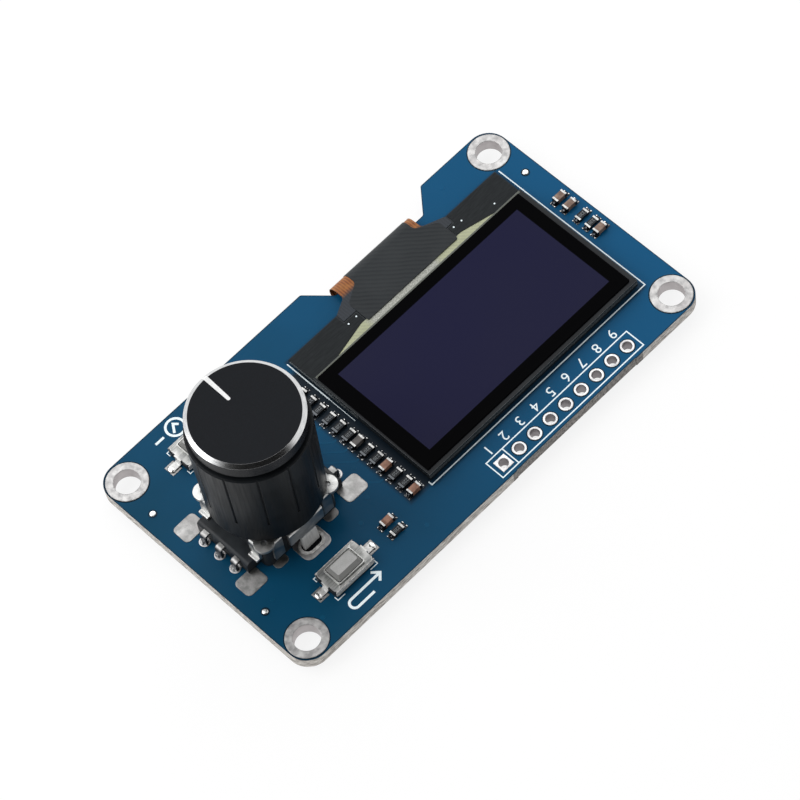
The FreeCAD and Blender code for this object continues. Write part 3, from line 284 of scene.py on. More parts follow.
def inside_box(tree, place, low, high, soft):
    """1 inside a box given in millimetres, falling to 0 over soft millimetres past its faces."""
    centre = [(a + b) / 2 for a, b in zip(low, high)]
    half = [(b - a) / 2 for a, b in zip(low, high)]
    offset = add_node(tree, VECTOR, {0: place, 1: centre}, operation="SUBTRACT")
    size = add_node(tree, VECTOR, {0: offset}, operation="ABSOLUTE")
    beyond = add_node(tree, VECTOR, {0: size, 1: half}, operation="SUBTRACT")
    x, y, z = (add_node(tree, SPLIT, {0: beyond}, axis) for axis in range(3))
    flat = add_node(tree, MATH, {0: x, 1: y}, operation="MAXIMUM")
    furthest = add_node(tree, MATH, {0: flat, 1: z}, operation="MAXIMUM")
    return add_node(tree, RANGE, {0: furthest, 1: 0.0, 2: soft, 3: 1.0, 4: 0.0})


def toned_box(tree, place, low, high, soft, tone, other):
    """A tone that gives way to another inside a box."""
    share = inside_box(tree, place, low, high, soft)
    return add_node(tree, MIX, {0: share, 6: tone, 7: other}, 2, data_type="RGBA")


def facing(tree, axis, start=0.35, end=0.85):
    """1 on faces that look along an axis either way, 0 on faces beside it."""
    normal = add_node(tree, GEOMETRY, output="Normal")
    along = add_node(tree, SPLIT, {0: normal}, axis)
    size = add_node(tree, MATH, {0: along}, operation="ABSOLUTE")
    return add_node(tree, RANGE, {0: size, 1: start, 2: end})


def toned_faces(tree, wall, top, start=0.35, end=0.85):
    """One tone on walls and another on level faces."""
    share = facing(tree, 2, start, end)
    return add_node(tree, MIX, {0: share, 6: wall, 7: top}, 2, data_type="RGBA")


def toned_edges(tree, radius, tone, other):
    """Another tone along sharp edges, where a normal rounded over some millimetres leaves the true one."""
    rounded = add_node(tree, BEVEL, {"Radius": radius * MM}, samples=6)
    true = add_node(tree, GEOMETRY, output="True Normal")
    same = add_node(tree, VECTOR, {0: rounded, 1: true}, "Value", operation="DOT_PRODUCT")
    share = add_node(tree, RANGE, {0: same, 1: 0.99, 2: 0.93})
    return add_node(tree, MIX, {0: share, 6: tone, 7: colour(other)}, 2, data_type="RGBA")


def lacquer_tone(tree, place, near, far):
    """The lacquer's blue with a painted sheen: lighter along the board away from the encoder's end, darker
    towards it.
    """
    x = add_node(tree, SPLIT, {0: place}, 0)
    along = add_node(tree, RANGE, {0: x, 1: BOARD_HIGH.x / MM, 2: BOARD_LOW.x / MM})
    return add_node(tree, RAMP, {0: along}, stops=((0.0, near), (1.0, far)))


def dress(names, material):
    """Gives CAD nodes a material."""
    for name in names:
        mesh = NODES[name].data
        mesh.materials.clear()
        mesh.materials.append(material)


# Materials


def solder_mask_on_laminate(finish):
    """Glass fibre laminate under sprayed lacquer: deep glossy blue, rough pale edges."""
    material, tree, place = start_material("lacquered glass fibre laminate")
    lacquer = lacquer_tone(tree, place, finish.mask, finish.mask_far)
    lacquer = clouded(tree, place, 9.0, lacquer, "#155681", 0.15)[1]
    # Painted shade: the ground round the chip column and beside the panel is painted a darker blue, as shade
    # on the board
    low = (PANEL_HIGH.x / MM - 1.0, LEDGE_LOW.y / MM + 1.6, 0.0)
    high = (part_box("resistor_1")[1].x / MM + 0.4, PANEL_HIGH.y / MM - 0.1, 3.0)
    bare = inside_box(tree, place, low, high, 0.7)
    low = (PANEL_LOW.x / MM - 0.4, LEDGE_LOW.y / MM - 0.3, 0.0)
    high = (PANEL_HIGH.x / MM, PANEL_HIGH.y / MM + 0.5, 3.0)
    beside_glass = inside_box(tree, place, low, high, 0.4)
    beside_glass = add_node(tree, MATH, {0: beside_glass, 1: 0.75}, operation="MULTIPLY")
    dark = add_node(tree, MATH, {0: bare, 1: beside_glass}, operation="MAXIMUM")
    inputs = {0: dark, 6: lacquer, 7: colour(finish.mask_deep)}
    ground = add_node(tree, MIX, inputs, 2, data_type="RGBA")
    # A dark line runs along every cut edge of the lacquer
    ground = toned_edges(tree, 0.3, ground, "#0b2230")
    # The edges: plies of glass cloth about 0.2 mm thick, torn where the board was snapped off its score
    stops = ((0.36, "#7d7976"), (0.5, finish.laminate), (0.64, "#e6e3de"))
    inputs = {"Vector": millimetres(tree, (0.9, 0.9, 5.0)), "Scale": 1.0, "Detail": 5.0, "Roughness": 0.7}
    plies = add_node(tree, NOISE, inputs)
    torn = add_node(tree, RAMP, {0: plies}, stops=stops)
    grit, milled = mottled(tree, place, 0.35, "#656462", "#a5a09c", 4.0, 0.7)
    low = (STRIP_LOW.x / MM - 3.4, BOARD_LOW.y / MM - 1, -1.0)
    high = (STRIP_HIGH.x / MM + 3.0, BOARD_HIGH.y / MM + 1, 3.0)
    edge = toned_box(tree, place, low, high, 0.1, torn, milled)
    # The grit also leaves dark pits all along the edge
    pits = add_node(tree, RANGE, {0: grit, 1: 0.3, 2: 0.42, 3: 0.55, 4: 0.0})
    edge = add_node(tree, MIX, {0: pits, 6: edge, 7: colour("#4a4744")}, 2, data_type="RGBA")
    flat = facing(tree, 2, 0.4, 0.6)
    tone = add_node(tree, MIX, {0: flat, 6: edge, 7: ground}, 2, data_type="RGBA")
    rough = add_node(tree, RANGE, {0: flat, 3: 0.78, 4: 0.28})
    # The sprayed lacquer has a faint orange peel of about a millimetre, the torn edge deep grit
    peel = add_node(tree, NOISE, {"Vector": place, "Scale": 1 / 1.1})
    inputs = {0: flat, 2: plies, 3: add_node(tree, MATH, {0: peel, 1: 0.06}, operation="MULTIPLY")}
    height = add_node(tree, MIX, inputs)
    return finish_material(material, tone, rough, height, 0.12, {SPECULAR: 0.06})


def hot_tinned_copper(name, wall, low="#868685", high="#abaaa9", chip_boxes=()):
    """Copper dipped in molten tin and blown off: bright, softly mottled, slightly lumpy metal."""
    material, tree, place = start_material(name)
    crystals, tone = mottled(tree, place, 0.8, low, high, 3.0)
    cloud, tone = clouded(tree, place, 1.6, tone, wall, 0.3, start=0.5, end=0.7)
    # Painted reflection: on the chips' small lands the tin is painted dark, as it mirrors the dark ground,
    # with bright flecks as painted glints
    if chip_boxes:
        fleck = add_node(tree, NOISE, {"Vector": place, "Scale": 1 / 0.16})
        dark_reflection_and_glints = add_node(tree, RAMP, {0: fleck}, stops=((0.52, "#272a2f"), (0.6, "#4b4e53"), (0.7, "#b8b9b9")))
    for corner, far_corner in chip_boxes:
        tone = toned_box(tree, place, corner, far_corner, 0.05, tone, dark_reflection_and_glints)
    # Barrel walls and edges take their own tone: partly a trace of the copper through the thin tin, partly
    # painted shade and reflection
    tone = toned_faces(tree, colour(wall), tone)
    rough = (cloud, 0.36, 0.54)
    # The tin pulls back into a soft rounded rim
    return finish_material(material, tone, rough, crystals, 0.04, {"Metallic": 1.0}, 0.14)


def reflowed_solder(name, low, high, dark_boxes=()):
    """Reflowed solder: smooth metal, its level faces mottled between two tones that paint small highlights,
    its upright faces painted dark as shade.
    """
    material, tree, place = start_material(name)
    grain, crest = mottled(tree, place, 0.3, low, high, start=0.4, end=0.6)
    # Painted shade: upright faces are toned dark
    tone = toned_faces(tree, colour("#2a2d32"), crest)
    # Painted shade: a slot's mouth is toned dark
    for corner, far_corner in dark_boxes:
        tone = toned_box(tree, place, corner, far_corner, 0.05, tone, colour("#1b1d20"))
    rough = (grain, 0.16, 0.34)
    return finish_material(material, tone, rough, grain, 0.02, {"Metallic": 1.0})


def printing_ink(name, fresh, worn):
    """Screen-printed epoxy ink: flat and bright, with a trace of the ground where it is thin."""
    material, tree, place = start_material(name)
    coverage, tone = clouded(tree, place, 0.12, colour(fresh), worn, 0.5, 3.0, 0.7, 0.4, 0.8)
    return finish_material(material, tone, 0.55, coverage, 0.006, {SPECULAR: 0.3})


def masked_copper(name, near, far):
    """Copper under lacquer: the same blue, a shade lighter, raised a little."""
    material, tree, place = start_material(name)
    # The same painted sheen as the lacquer
    tone = lacquer_tone(tree, place, near, far)
    cloud, tone = clouded(tree, place, 2.5, tone, "#125980", 0.15)
    return finish_material(material, tone, 0.28, cloud, 0.01, {SPECULAR: 0.06})


def polarizing_film(finish):
    """Laminated film on glass: dead black round a deep blue unlit pixel field."""
    material, tree, place = start_material("polarizing film")
    x = (FILM_LOW.x + FILM_HIGH.x) / 2 / MM - 0.13
    y = (FILM_LOW.y + FILM_HIGH.y) / 2 / MM - 0.1
    half_x = finish.picture_length / 2 / MM
    half_y = finish.picture_width / 2 / MM
    # Pixels 0.23 mm apart, 128 to a row, only just darker between than within
    inputs = {"Vector": place, "Scale": band_scale(2 * half_x / 128)}
    columns, rows = (add_node(tree, WAVE, inputs, "Fac", bands_direction=axis) for axis in "XY")
    grid = add_node(tree, MATH, {0: columns, 1: rows}, operation="MINIMUM")
    pixels = add_node(tree, RAMP, {0: grid}, stops=((0.0, "#1f1f36"), (0.25, finish.picture)))
    pixels = clouded(tree, place, 14.0, pixels, "#2b2b33", 0.12, 1.0)[1]
    corner, far_corner = (x - half_x, y - half_y, 0), (x + half_x, y + half_y, 9)
    tone = toned_box(tree, place, corner, far_corner, 0.05, colour(finish.film), pixels)
    wave = add_node(tree, NOISE, {"Vector": place, "Scale": 1 / 6.0, "Detail": 1.0})
    return finish_material(material, tone, 0.12, wave, 0.01, {SPECULAR: 0.012})


def ground_glass_edge():
    """Cut display glass: a dark grey slab with pale ground edges and a cool sheen."""
    material, tree, place = start_material("cut display glass")
    cut = millimetres(tree, (1, 1, 3))
    chips, side = mottled(tree, cut, 0.4, "#15191c", "#2f3437", 4.0, 0.7)
    # The long cut beside the ledge glows where light comes through the bare glass
    long_side = add_node(tree, RAMP, {0: chips}, stops=((0.35, "#5d6057"), (0.65, "#a2a598")))
    y = add_node(tree, SPLIT, {0: place}, 1)
    towards = add_node(tree, RANGE, {0: y, 1: PANEL_LOW.y / MM + 0.3, 2: PANEL_LOW.y / MM + 0.1})
    lit = add_node(tree, MATH, {0: towards, 1: facing(tree, 1)}, operation="MULTIPLY")
    side = add_node(tree, MIX, {0: lit, 6: side, 7: long_side}, 2, data_type="RGBA")
    face = mottled(tree, place, 4.0, "#15181b", "#1e2124")[1]
    # Light from the ledge comes up through the rim beside it
    low = (PANEL_LOW.x / MM + 0.3, PANEL_LOW.y / MM - 1.0, PANEL_HIGH.z / MM - 0.2)
    high = (PANEL_HIGH.x / MM - 0.3, FILM_LOW.y / MM - 0.06, PANEL_HIGH.z / MM + 1.0)
    face = toned_box(tree, place, low, high, 0.05, face, colour("#5f625b"))
    tone = toned_faces(tree, side, face, 0.4, 0.8)
    # Sharp arrises catch the light as a fine line
    tone = toned_edges(tree, 0.07, tone, "#595d5f")
    return finish_material(material, tone, 0.15, chips, 0.01, {"IOR": 1.5, SPECULAR: 0.12})


def wired_glass(finish):
    """Glass that carries fine conductor lines: pale grey green, lit from beneath by its own depth."""
    material, tree, place = start_material("conductor glass")
    # Conductors fan out about 0.3 mm apart, drawn as coarse as they need to show
    stops = ((0.0, finish.ledge), (1.0, "#9a9d83"))
    lines, tone = striped(tree, place, 0.3, "DIAGONAL", stops, Distortion=1.5)
    tone = clouded(tree, place, 2.2, tone, "#babd9f", 0.3)[1]
    # In front of the cable its bonded conductors make the glass a speckled silver
    low = (STRIP_LOW.x / MM + 4.2, LEDGE_LOW.y / MM, LEDGE_HIGH.z / MM - 0.2)
    high = (STRIP_HIGH.x / MM - 0.6, LEDGE_HIGH.y / MM, LEDGE_HIGH.z / MM + 0.2)
    silver = mottled(tree, place, 0.18, "#85877f", "#b4b5ae", 3.0)[1]
    tone = toned_box(tree, place, low, high, 1.2, tone, silver)
    # Away from the ledge the sheet is seen only by its edge, painted dark as shade under the panel
    low = (LEDGE_LOW.x / MM + 0.25, LEDGE_LOW.y / MM + 2.9, LEDGE_HIGH.z / MM - 0.1)
    high = (LEDGE_HIGH.x / MM - 0.25, PANEL_LOW.y / MM + 0.3, LEDGE_HIGH.z / MM + 1)
    tone = toned_box(tree, place, low, high, 0.05, colour("#1f2327"), tone)
    return finish_material(material, tone, 0.2, lines, 0.004, {"IOR": 1.5, SPECULAR: 0.15})


def polyimide_film():
    """Polyimide over copper: clear amber where it bends, grey where it meets the glass."""
    material, tree, place = start_material("polyimide film")
    # Copper lines 0.35 mm apart show through as darker bars
    bars, amber = striped(tree, place, 0.35, "X", ((0.2, "#8d5529"), (0.9, "#6a3a1c")))
    amber = clouded(tree, place, 1.2, amber, "#a8743f", 0.4, start=0.45, end=0.7)[1]
    grey = add_node(tree, RAMP, {0: bars}, stops=((0.2, "#272c33"), (0.9, "#22272d")))
    bend_y = LEDGE_LOW.y / MM - 1.0
    tone = toned_box(tree, place, (-60, bend_y, 0.0), (60, bend_y + 9, 9), 0.6, amber, grey)
    return finish_material(material, tone, 0.34, bars, 0.006, {SPECULAR: 0.2})


def ribbed_film():
    """Dark covering film over close copper lines: charcoal with faint slanting ribs."""
    material, tree, place = start_material("charcoal covering film")
    # Ribs slant across the strip about 0.55 mm apart
    turned = add_node(tree, "ShaderNodeMapping", {"Vector": place, "Rotation": (0, 0, math.radians(-45))})
    stops = ((0.3, "#2b2e30"), (1.0, "#24272a"))
    ribs, tone = striped(tree, turned, 0.55, "X", stops, Distortion=2.0, Detail=2.0)
    tone = clouded(tree, place, 3.5, tone, "#333638", 0.4)[1]
    return finish_material(material, tone, 0.42, ribs, 0.004, {SPECULAR: 0.1})


def black_nylon(name, low, high, roughness):
    """Moulded nylon: near black with a fine spark-eroded grain that scatters the light."""
    material, tree, place = start_material(name)
    cloud, tone = mottled(tree, place, 2.4, low, high)
    rough = (cloud, roughness - 0.06, roughness + 0.08)
    # Mould grain of about 0.08 mm
    grain = add_node(tree, NOISE, {"Vector": place, "Scale": 1 / 0.08})
    return finish_material(material, tone, rough, grain, 0.006, {SPECULAR: 0.25})


def plated_sheet_steel(name, face_tones, wall_tones, bright_boxes=()):
    """Tin-plated sheet steel: bright, drawn lines along the strip; its walls take their own tones as painted
    reflection and light, and its pressed edges a painted highlight.
    """
    material, tree, place = start_material(name)
    # Rolling marks run along the strip, about 0.06 mm apart, drawn as coarse as they need to show
    strip = millimetres(tree, (0.12, 2.2, 2.2))
    marks, face = mottled(tree, strip, 0.3, *face_tones, 5.0, 0.6)
    cloud, face = clouded(tree, place, 1.4, face, "#686b6e", 0.6, start=0.5, end=0.7)
    dark, bright = wall_tones
    # Painted light and reflection: walls take their own tones, set per use
    wall = add_node(tree, RAMP, {0: marks}, stops=((0.35, dark), (0.65, bright)))
    tone = toned_faces(tree, wall, face)
    # Painted light: legs that stand free of the mouldings are painted bright, with brush lines, and made
    # mostly non-metallic so that brightness shows
    metallic = 1.0
    if bright_boxes:
        down = millimetres(tree, (2.2, 2.2, 0.12))
        brushed_and_painted_light = mottled(tree, down, 0.5, "#8f8d8a", "#f6f4f1", 3.0, start=0.4, end=0.6)[1]
    for corner, far_corner in bright_boxes:
        leg = inside_box(tree, place, corner, far_corner, 0.1)
        tone = add_node(tree, MIX, {0: leg, 6: tone, 7: brushed_and_painted_light}, 2, data_type="RGBA")
        matt = add_node(tree, RANGE, {0: leg, 3: 0.0, 4: 0.85})
        metallic = add_node(tree, MATH, {0: metallic, 1: matt}, operation="SUBTRACT")
    # Painted highlight: sharp edges are mixed towards a pale tone
    edges = add_node(tree, GEOMETRY, output="Pointiness")
    worn = add_node(tree, RANGE, {0: edges, 1: 0.52, 2: 0.6, 4: 0.9})
    tone = add_node(tree, MIX, {0: worn, 6: tone, 7: colour("#c9c9c7")}, 2, data_type="RGBA")
    rough = (cloud, 0.3, 0.5)
    return finish_material(material, tone, rough, cloud, 0.05, {"Metallic": metallic}, 0.08)


def plain_metal(name, low, high, roughness, metallic=1.0):
    """A small metal part: one tone with a little grain, as its plating gives."""
    material, tree, place = start_material(name)
    grain, tone = mottled(tree, place, 0.3, low, high, 4.0)
    rough = (grain, roughness - 0.06, roughness + 0.08)
    return finish_material(material, tone, rough, grain, 0.01, {"Metallic": metallic})


def tinned_chip_end():
    """Plated nickel and tin on a chip's ends: a clean pale bar above, painted dark as shade on its upright
    faces.
    """
    material, tree, place = start_material("tinned chip end")
    grain, top = mottled(tree, place, 0.25, "#8b8b8a", "#bdbdbb")
    # The resistors' ends are darker on the encoder's side
    low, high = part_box("resistor_1")
    corner = ((low.x + high.x) / 2 / MM, BOARD_LOW.y / MM, 0.0)
    far_corner = (high.x / MM + 1.0, BOARD_HIGH.y / MM, high.z / MM + 0.05)
    top = toned_box(tree, place, corner, far_corner, 0.02, top, colour("#55585b"))
    # Painted shade: upright faces are toned dark
    tone = toned_faces(tree, colour("#33363b"), top)
    return finish_material(material, tone, 0.34, grain, 0.004, {"Metallic": 1.0})


def ribbed_knob_moulding(finish):
    """Satin black moulding: soft grey sheen on the lands, black in the flutes, fine draw lines."""
    material, tree, place = start_material("satin black moulding")
    tone = clouded(tree, place, 3.0, colour(finish.moulding), "#191c1f", 0.7)[1]
    down = millimetres(tree, (1, 1, 0.06))
    draw = add_node(tree, NOISE, {"Vector": down, "Scale": 1 / 0.35})
    rough = (draw, 0.3, 0.44)
    return finish_material(material, tone, rough, draw, 0.012, {SPECULAR: 0.1}, 0.12)


def anodised_cap(finish):
    """Black anodised aluminium whose chamfer was cut bright after dyeing: matt top, mirror ring."""
    material, tree, place = start_material("anodised aluminium with a bright cut")
    axis = (ENCODER_X / MM, ENCODER_Y / MM, 0)
    offset = add_node(tree, VECTOR, {0: place, 1: axis}, operation="SUBTRACT")
    across = add_node(tree, VECTOR, {0: offset, 1: (1, 1, 0)}, operation="MULTIPLY")
    radius = add_node(tree, VECTOR, {0: across}, "Value", operation="LENGTH")
    cut_z = (CAP_HIGH.z - finish.chamfer_height) / MM
    cut_radius = (CAP_HIGH.x - CAP_LOW.x) / 2 / MM - 0.49
    z = add_node(tree, SPLIT, {0: place}, 2)
    high = add_node(tree, RANGE, {0: z, 1: cut_z - 0.015, 2: cut_z + 0.015})
    wide = add_node(tree, RANGE, {0: radius, 1: cut_radius - 0.015, 2: cut_radius + 0.015})
    cut = add_node(tree, MATH, {0: high, 1: wide}, operation="MULTIPLY")
    grain, dyed = mottled(tree, place, 0.12, finish.cap, "#191b1f")
    # Tool marks of the bright cut go round the ring
    bright = mottled(tree, millimetres(tree, (1, 1, 30)), 0.8, "#c3c5c7", "#e9e9e9")[1]
    tone = add_node(tree, MIX, {0: cut, 6: dyed, 7: bright}, 2, data_type="RGBA")
    # The turned band under the cut is glossy, the top matt
    band = add_node(tree, RANGE, {0: high, 3: 0.24, 4: 0.62})
    rough = add_node(tree, MIX, {0: cut, 2: band, 3: 0.2})
    depth = add_node(tree, RANGE, {0: cut, 3: 1.0, 4: 0.0})
    height = add_node(tree, MATH, {0: grain, 1: depth}, operation="MULTIPLY")
    return finish_material(material, tone, rough, height, 0.006, {"Metallic": cut, SPECULAR: 0.07})


def grey_thermoplastic():
    """The keys' plungers: warm mid grey moulding with a dull, faintly speckled face."""
    material, tree, place = start_material("grey moulded thermoplastic")
    speck, face = mottled(tree, place, 0.09, "#a9a9a7", "#bababa")
    face = clouded(tree, place, 0.9, face, "#9d9d9b", 0.4)[1]
    # Painted shade: its sides stand in the cover's shade and are toned darker
    tone = toned_faces(tree, colour("#7c7c7a"), face, 0.7, 0.95)
    return finish_material(material, tone, 0.5, speck, 0.008, {SPECULAR: 0.35})


def capacitor_ceramic(name, low, high):
    """Fired capacitor ceramic: dry, with lighter, rosier blotches."""
    material, tree, place = start_material(name)
    tone = mottled(tree, place, 0.7, low, high)[1]
    grit, tone = clouded(tree, place, 0.08, tone, low, 0.3)
    return finish_material(material, tone, 0.55, grit, 0.01, {SPECULAR: 0.35})


def even_material(name, size, low, high, roughness, specular, depth, detail=2.0, rough_grain=0.5,
                  stretch=(1, 1, 1)):
    """Two near tones in a grain of its own size, which is its relief too."""
    material, tree, place = start_material(name, stretch)
    grain, tone = mottled(tree, place, size, low, high, detail, rough_grain)
    return finish_material(material, tone, roughness, grain, depth, {SPECULAR: specular})


def masking_tape():
    """Thin black masking tape: matt, its fibres drawn out along it."""
    return even_material("black masking tape", 0.5, "#1b1e20", "#232628", 0.6, 0.1, 0.01, 4.0,
                         stretch=(0.4, 3.0, 3.0))


def foam_tape():
    """Double-sided foam tape: dark, dull, open-pored at its edge."""
    return even_material("double-sided foam tape", 0.15, "#111213", "#26282a", 0.9, 0.1, 0.05, 4.0, 0.7)


def bare_silicon():
    """A bare driver chip: dark mirror-smooth slate with a blue cast."""
    return even_material("bare silicon", 2.0, "#24272e", "#343a45", 0.15, 0.7, 0.003)


def filled_paint_line():
    """Paint wiped into a groove: clean white, slightly glossy, a little uneven in its fill."""
    return even_material("filled paint line", 0.5, "#d9dada", "#e9e9e9", 0.35, 0.4, 0.02)


def pale_acetal():
    """The encoder's rotor: natural acetal, milky and waxy."""
    return even_material("natural acetal", 1.5, "#cfccbf", "#e2dfd2", 0.4, 0.4, 0.01)


def glazed_resistor():
    """Glass glaze over a resistive film: black, glossy, a little uneven."""
    return even_material("black resistor glaze", 0.3, "#15171a", "#22252a", 0.25, 0.15, 0.02)


# Mesh helpers


def finish_piece(name, mesh, body="board"):
    """Links a finished mesh as a piece that rides on a body."""
    piece = bpy.data.objects.new(name, mesh)
    bpy.context.scene.collection.objects.link(piece)
    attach(piece, body)
    return piece


def finish_build(name, build, material):
    """Turns finished mesh-building work into a piece, with its normals outward."""
    bmesh.ops.recalc_face_normals(build, faces=build.faces[:])
    mesh = bpy.data.meshes.new(name)
    build.to_mesh(mesh)
    build.free()
    mesh.materials.append(material)
    return finish_piece(name, mesh)


def add_snap_dome(node, material):
    """Stands a sprung dome in a CAD dome's place."""
    # A CAD node's triangles are loose, so the copy is merged before its normals are set
    build = bmesh.new()
    build.from_mesh(NODES[node].data)
    build.transform(NODES[node].matrix_world)
    bmesh.ops.remove_doubles(build, verts=build.verts[:], dist=0.001 * MM)
    piece = finish_build(node + "_sprung", build, material)
    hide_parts(node)
    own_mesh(piece)


def add_ribbon(build, points, width, top, bottom=BOARD_TOP, closed=False):
    """Adds a flat printed line through points as one solid, with mitred corners."""
    points = [Vector(point) for point in points]
    count = len(points)
    rows = []
    for index, point in enumerate(points):
        before = points[index - 1] if closed or index > 0 else None
        after = points[(index + 1) % count] if closed or index < count - 1 else None
        arriving = (point - before).normalized() if before is not None else (after - point).normalized()
        leaving = (after - point).normalized() if after is not None else arriving
        middle = (arriving + leaving).normalized()
        side = Vector((-middle.y, middle.x)) * (width / 2 / max(middle.dot(arriving), 0.3))
        left, right = point + side, point - side
        corners = ((*left, bottom), (*right, bottom), (*right, top), (*left, top))
        rows.append([build.verts.new(corner) for corner in corners])
    for index in range(count if closed else count - 1):
        row, following = rows[index], rows[(index + 1) % count]
        for side in range(4):
            after = (side + 1) % 4
            build.faces.new((row[side], row[after], following[after], following[side]))
    if not closed:
        build.faces.new(rows[0][::-1])
        build.faces.new(rows[-1])


def arc_points(centre, radius, first=0, last=351, steps=39):
    """Points along an arc, with its angles in degrees. A whole ring stops one step short of its start."""
    angles = [math.radians(first + (last - first) * step / steps) for step in range(steps + 1)]
    return [(centre[0] + radius * math.cos(angle), centre[1] + radius * math.sin(angle)) for angle in angles]


def add_box(build, low, high):
    """Adds a box between two corners."""
    middle = [(a + b) / 2 for a, b in zip(low, high)]
    size = [b - a for a, b in zip(low, high)]
    place = Matrix.Translation(middle) @ Matrix.Diagonal((*size, 1))
    bmesh.ops.create_cube(build, size=1.0, matrix=place)


def add_words(build, text, centre, height, bottom, thickness):
    """Adds digits of a given height, centred on a point and standing up from bottom."""
    curve = bpy.data.curves.new("digits", "FONT")
    curve.body = text
    curve.align_x = "CENTER"
    # A digit of the built-in font is 0.7 of its size high
    curve.size = height / 0.7
    curve.extrude = thickness / 2
    curve.resolution_u = 3
    text_object = bpy.data.objects.new("digits", curve)
    bpy.context.scene.collection.objects.link(text_object)
    bpy.context.view_layer.update()
    graph = bpy.context.evaluated_depsgraph_get()
    mesh = bpy.data.meshes.new_from_object(text_object.evaluated_get(graph))
    place = Matrix.Translation((centre[0], centre[1], bottom + thickness / 2))
    mesh.transform(place @ Matrix.Translation((0, -height / 2, 0)))
    build.from_mesh(mesh)
    bpy.data.objects.remove(text_object)
    bpy.data.curves.remove(curve)
    bpy.data.meshes.remove(mesh)


# Geometry node helpers


def new_geometry_tree(name, sizes):
    """A geometry node tree with named sizes and a material input, and the sockets they come in by."""
    tree = bpy.data.node_groups.new(name, "GeometryNodeTree")
    sockets = [("Geometry", "Geometry"), *((size, "Float") for size in sizes), ("Material", "Material")]
    for label, kind in sockets:
        tree.interface.new_socket(label, in_out="INPUT", socket_type="NodeSocket" + kind)
    tree.interface.new_socket("Geometry", in_out="OUTPUT", socket_type="NodeSocketGeometry")
    return tree, tree.nodes.new("NodeGroupInput").outputs


def close_geometry_tree(tree, given, shape, scale=(1, 1, 1)):
    """Sets a shape on every point and ends the tree in Realize Instances and Set Material."""
    inputs = {"Points": given["Geometry"], "Instance": shape, "Scale": scale}
    spread_out = add_node(tree, "GeometryNodeInstanceOnPoints", inputs)
    real = add_node(tree, "GeometryNodeRealizeInstances", {"Geometry": spread_out})
    painted = add_node(tree, "GeometryNodeSetMaterial", {"Geometry": real, "Material": given["Material"]})
    tree.links.new(painted, tree.nodes.new("NodeGroupOutput").inputs["Geometry"])
    return tree


def run_geometry_tree(tree, name, points, values, material):
    """Runs a tree over a mesh of loose points and makes a plain piece of what it gives."""
    mesh = bpy.data.meshes.new(name)
    mesh.from_pydata([tuple(point) for point in points], [], [])
    carrier = bpy.data.objects.new(name, mesh)
    bpy.context.scene.collection.objects.link(carrier)
    modifier = carrier.modifiers.new(name, "NODES")
    modifier.node_group = tree
    values = {**values, "Material": material}
    for item in tree.interface.items_tree:
        if item.in_out == "INPUT" and item.name in values:
            modifier[item.identifier] = values[item.name]
    bpy.context.view_layer.update()
    graph = bpy.context.evaluated_depsgraph_get()
    result = bpy.data.meshes.new_from_object(carrier.evaluated_get(graph))
    result.name = name
    bpy.data.objects.remove(carrier)
    bpy.data.meshes.remove(mesh)
    return finish_piece(name, result)


def drop_tree():
    """Half-drops of solder set on points, flat beneath, some larger than others."""
    sizes = ["Length", "Width", "Height"]
    tree, given = new_geometry_tree("solder drops", [*sizes, "Smallest"])
    ball = add_node(tree, "GeometryNodeMeshUVSphere", {"Segments": 14, "Rings": 8, "Radius": 1.0})
    scale = add_node(tree, "ShaderNodeCombineXYZ", {axis: given[size] for axis, size in enumerate(sizes)})
    shaped = add_node(tree, "GeometryNodeTransform", {"Geometry": ball, "Scale": scale})
    place = add_node(tree, "GeometryNodeInputPosition")
    level = add_node(tree, VECTOR, {0: place, 1: (-1, -1, 0)}, operation="MAXIMUM")
    drop = add_node(tree, "GeometryNodeSetPosition", {"Geometry": shaped, "Position": level})
    smooth = add_node(tree, "GeometryNodeSetShadeSmooth", {0: drop})
    chance = add_node(tree, "FunctionNodeRandomValue", {2: given["Smallest"], 3: 1.0, "Seed": 7}, 1)
    return close_geometry_tree(tree, given, smooth, chance)


def drop_sizes(length, width, height, smallest=1.0):
    """A drop's half length, half width and height, and how small the smallest of them is."""
    return {"Length": length, "Width": width, "Height": height, "Smallest": smallest}


def via_tree():
    """Small round plates set on points: lacquered rings of plated through holes."""
    tree, given = new_geometry_tree("lacquered holes", ["Radius", "Depth"])
    radius = given["Radius"]
    inputs = {"Vertices": 16, "Radius Top": radius, "Radius Bottom": radius, "Depth": given["Depth"]}
    return close_geometry_tree(tree, given, add_node(tree, "GeometryNodeMeshCone", inputs))


def thread_tree():
    """A screw thread: a three-sided ridge swept along a helix, at each point given."""
    tree, given = new_geometry_tree("screw thread", ["Radius", "Length", "Pitch", "Ridge"])
    radius, length = given["Radius"], given["Length"]
    turns = add_node(tree, MATH, {0: length, 1: given["Pitch"]}, operation="DIVIDE")
    inputs = {"Resolution": 32, "Rotations": turns, "Start Radius": radius, "End Radius": radius,
              "Height": length}
    helix = add_node(tree, "GeometryNodeCurveSpiral", inputs)
    inputs = {"Resolution": 3, "Radius": given["Ridge"]}
    ridge = add_node(tree, "GeometryNodeCurvePrimitiveCircle", inputs)
    inputs = {"Curve": helix, "Profile Curve": ridge, "Fill Caps": True}
    return close_geometry_tree(tree, given, add_node(tree, "GeometryNodeCurveToMesh", inputs))


# Places read from the frame


def chip_points(beyond, beside):
    """Points on the lands of every chip, some way beyond its body's ends and beside its axis."""
    points = []
    for name in CHIPS:
        low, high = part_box(name)
        for x in (low.x - beyond, high.x + beyond):
            for y in sorted({(low.y + high.y) / 2 - beside, (low.y + high.y) / 2 + beside}):
                points.append((x, y, LAND_TOP))
    return points


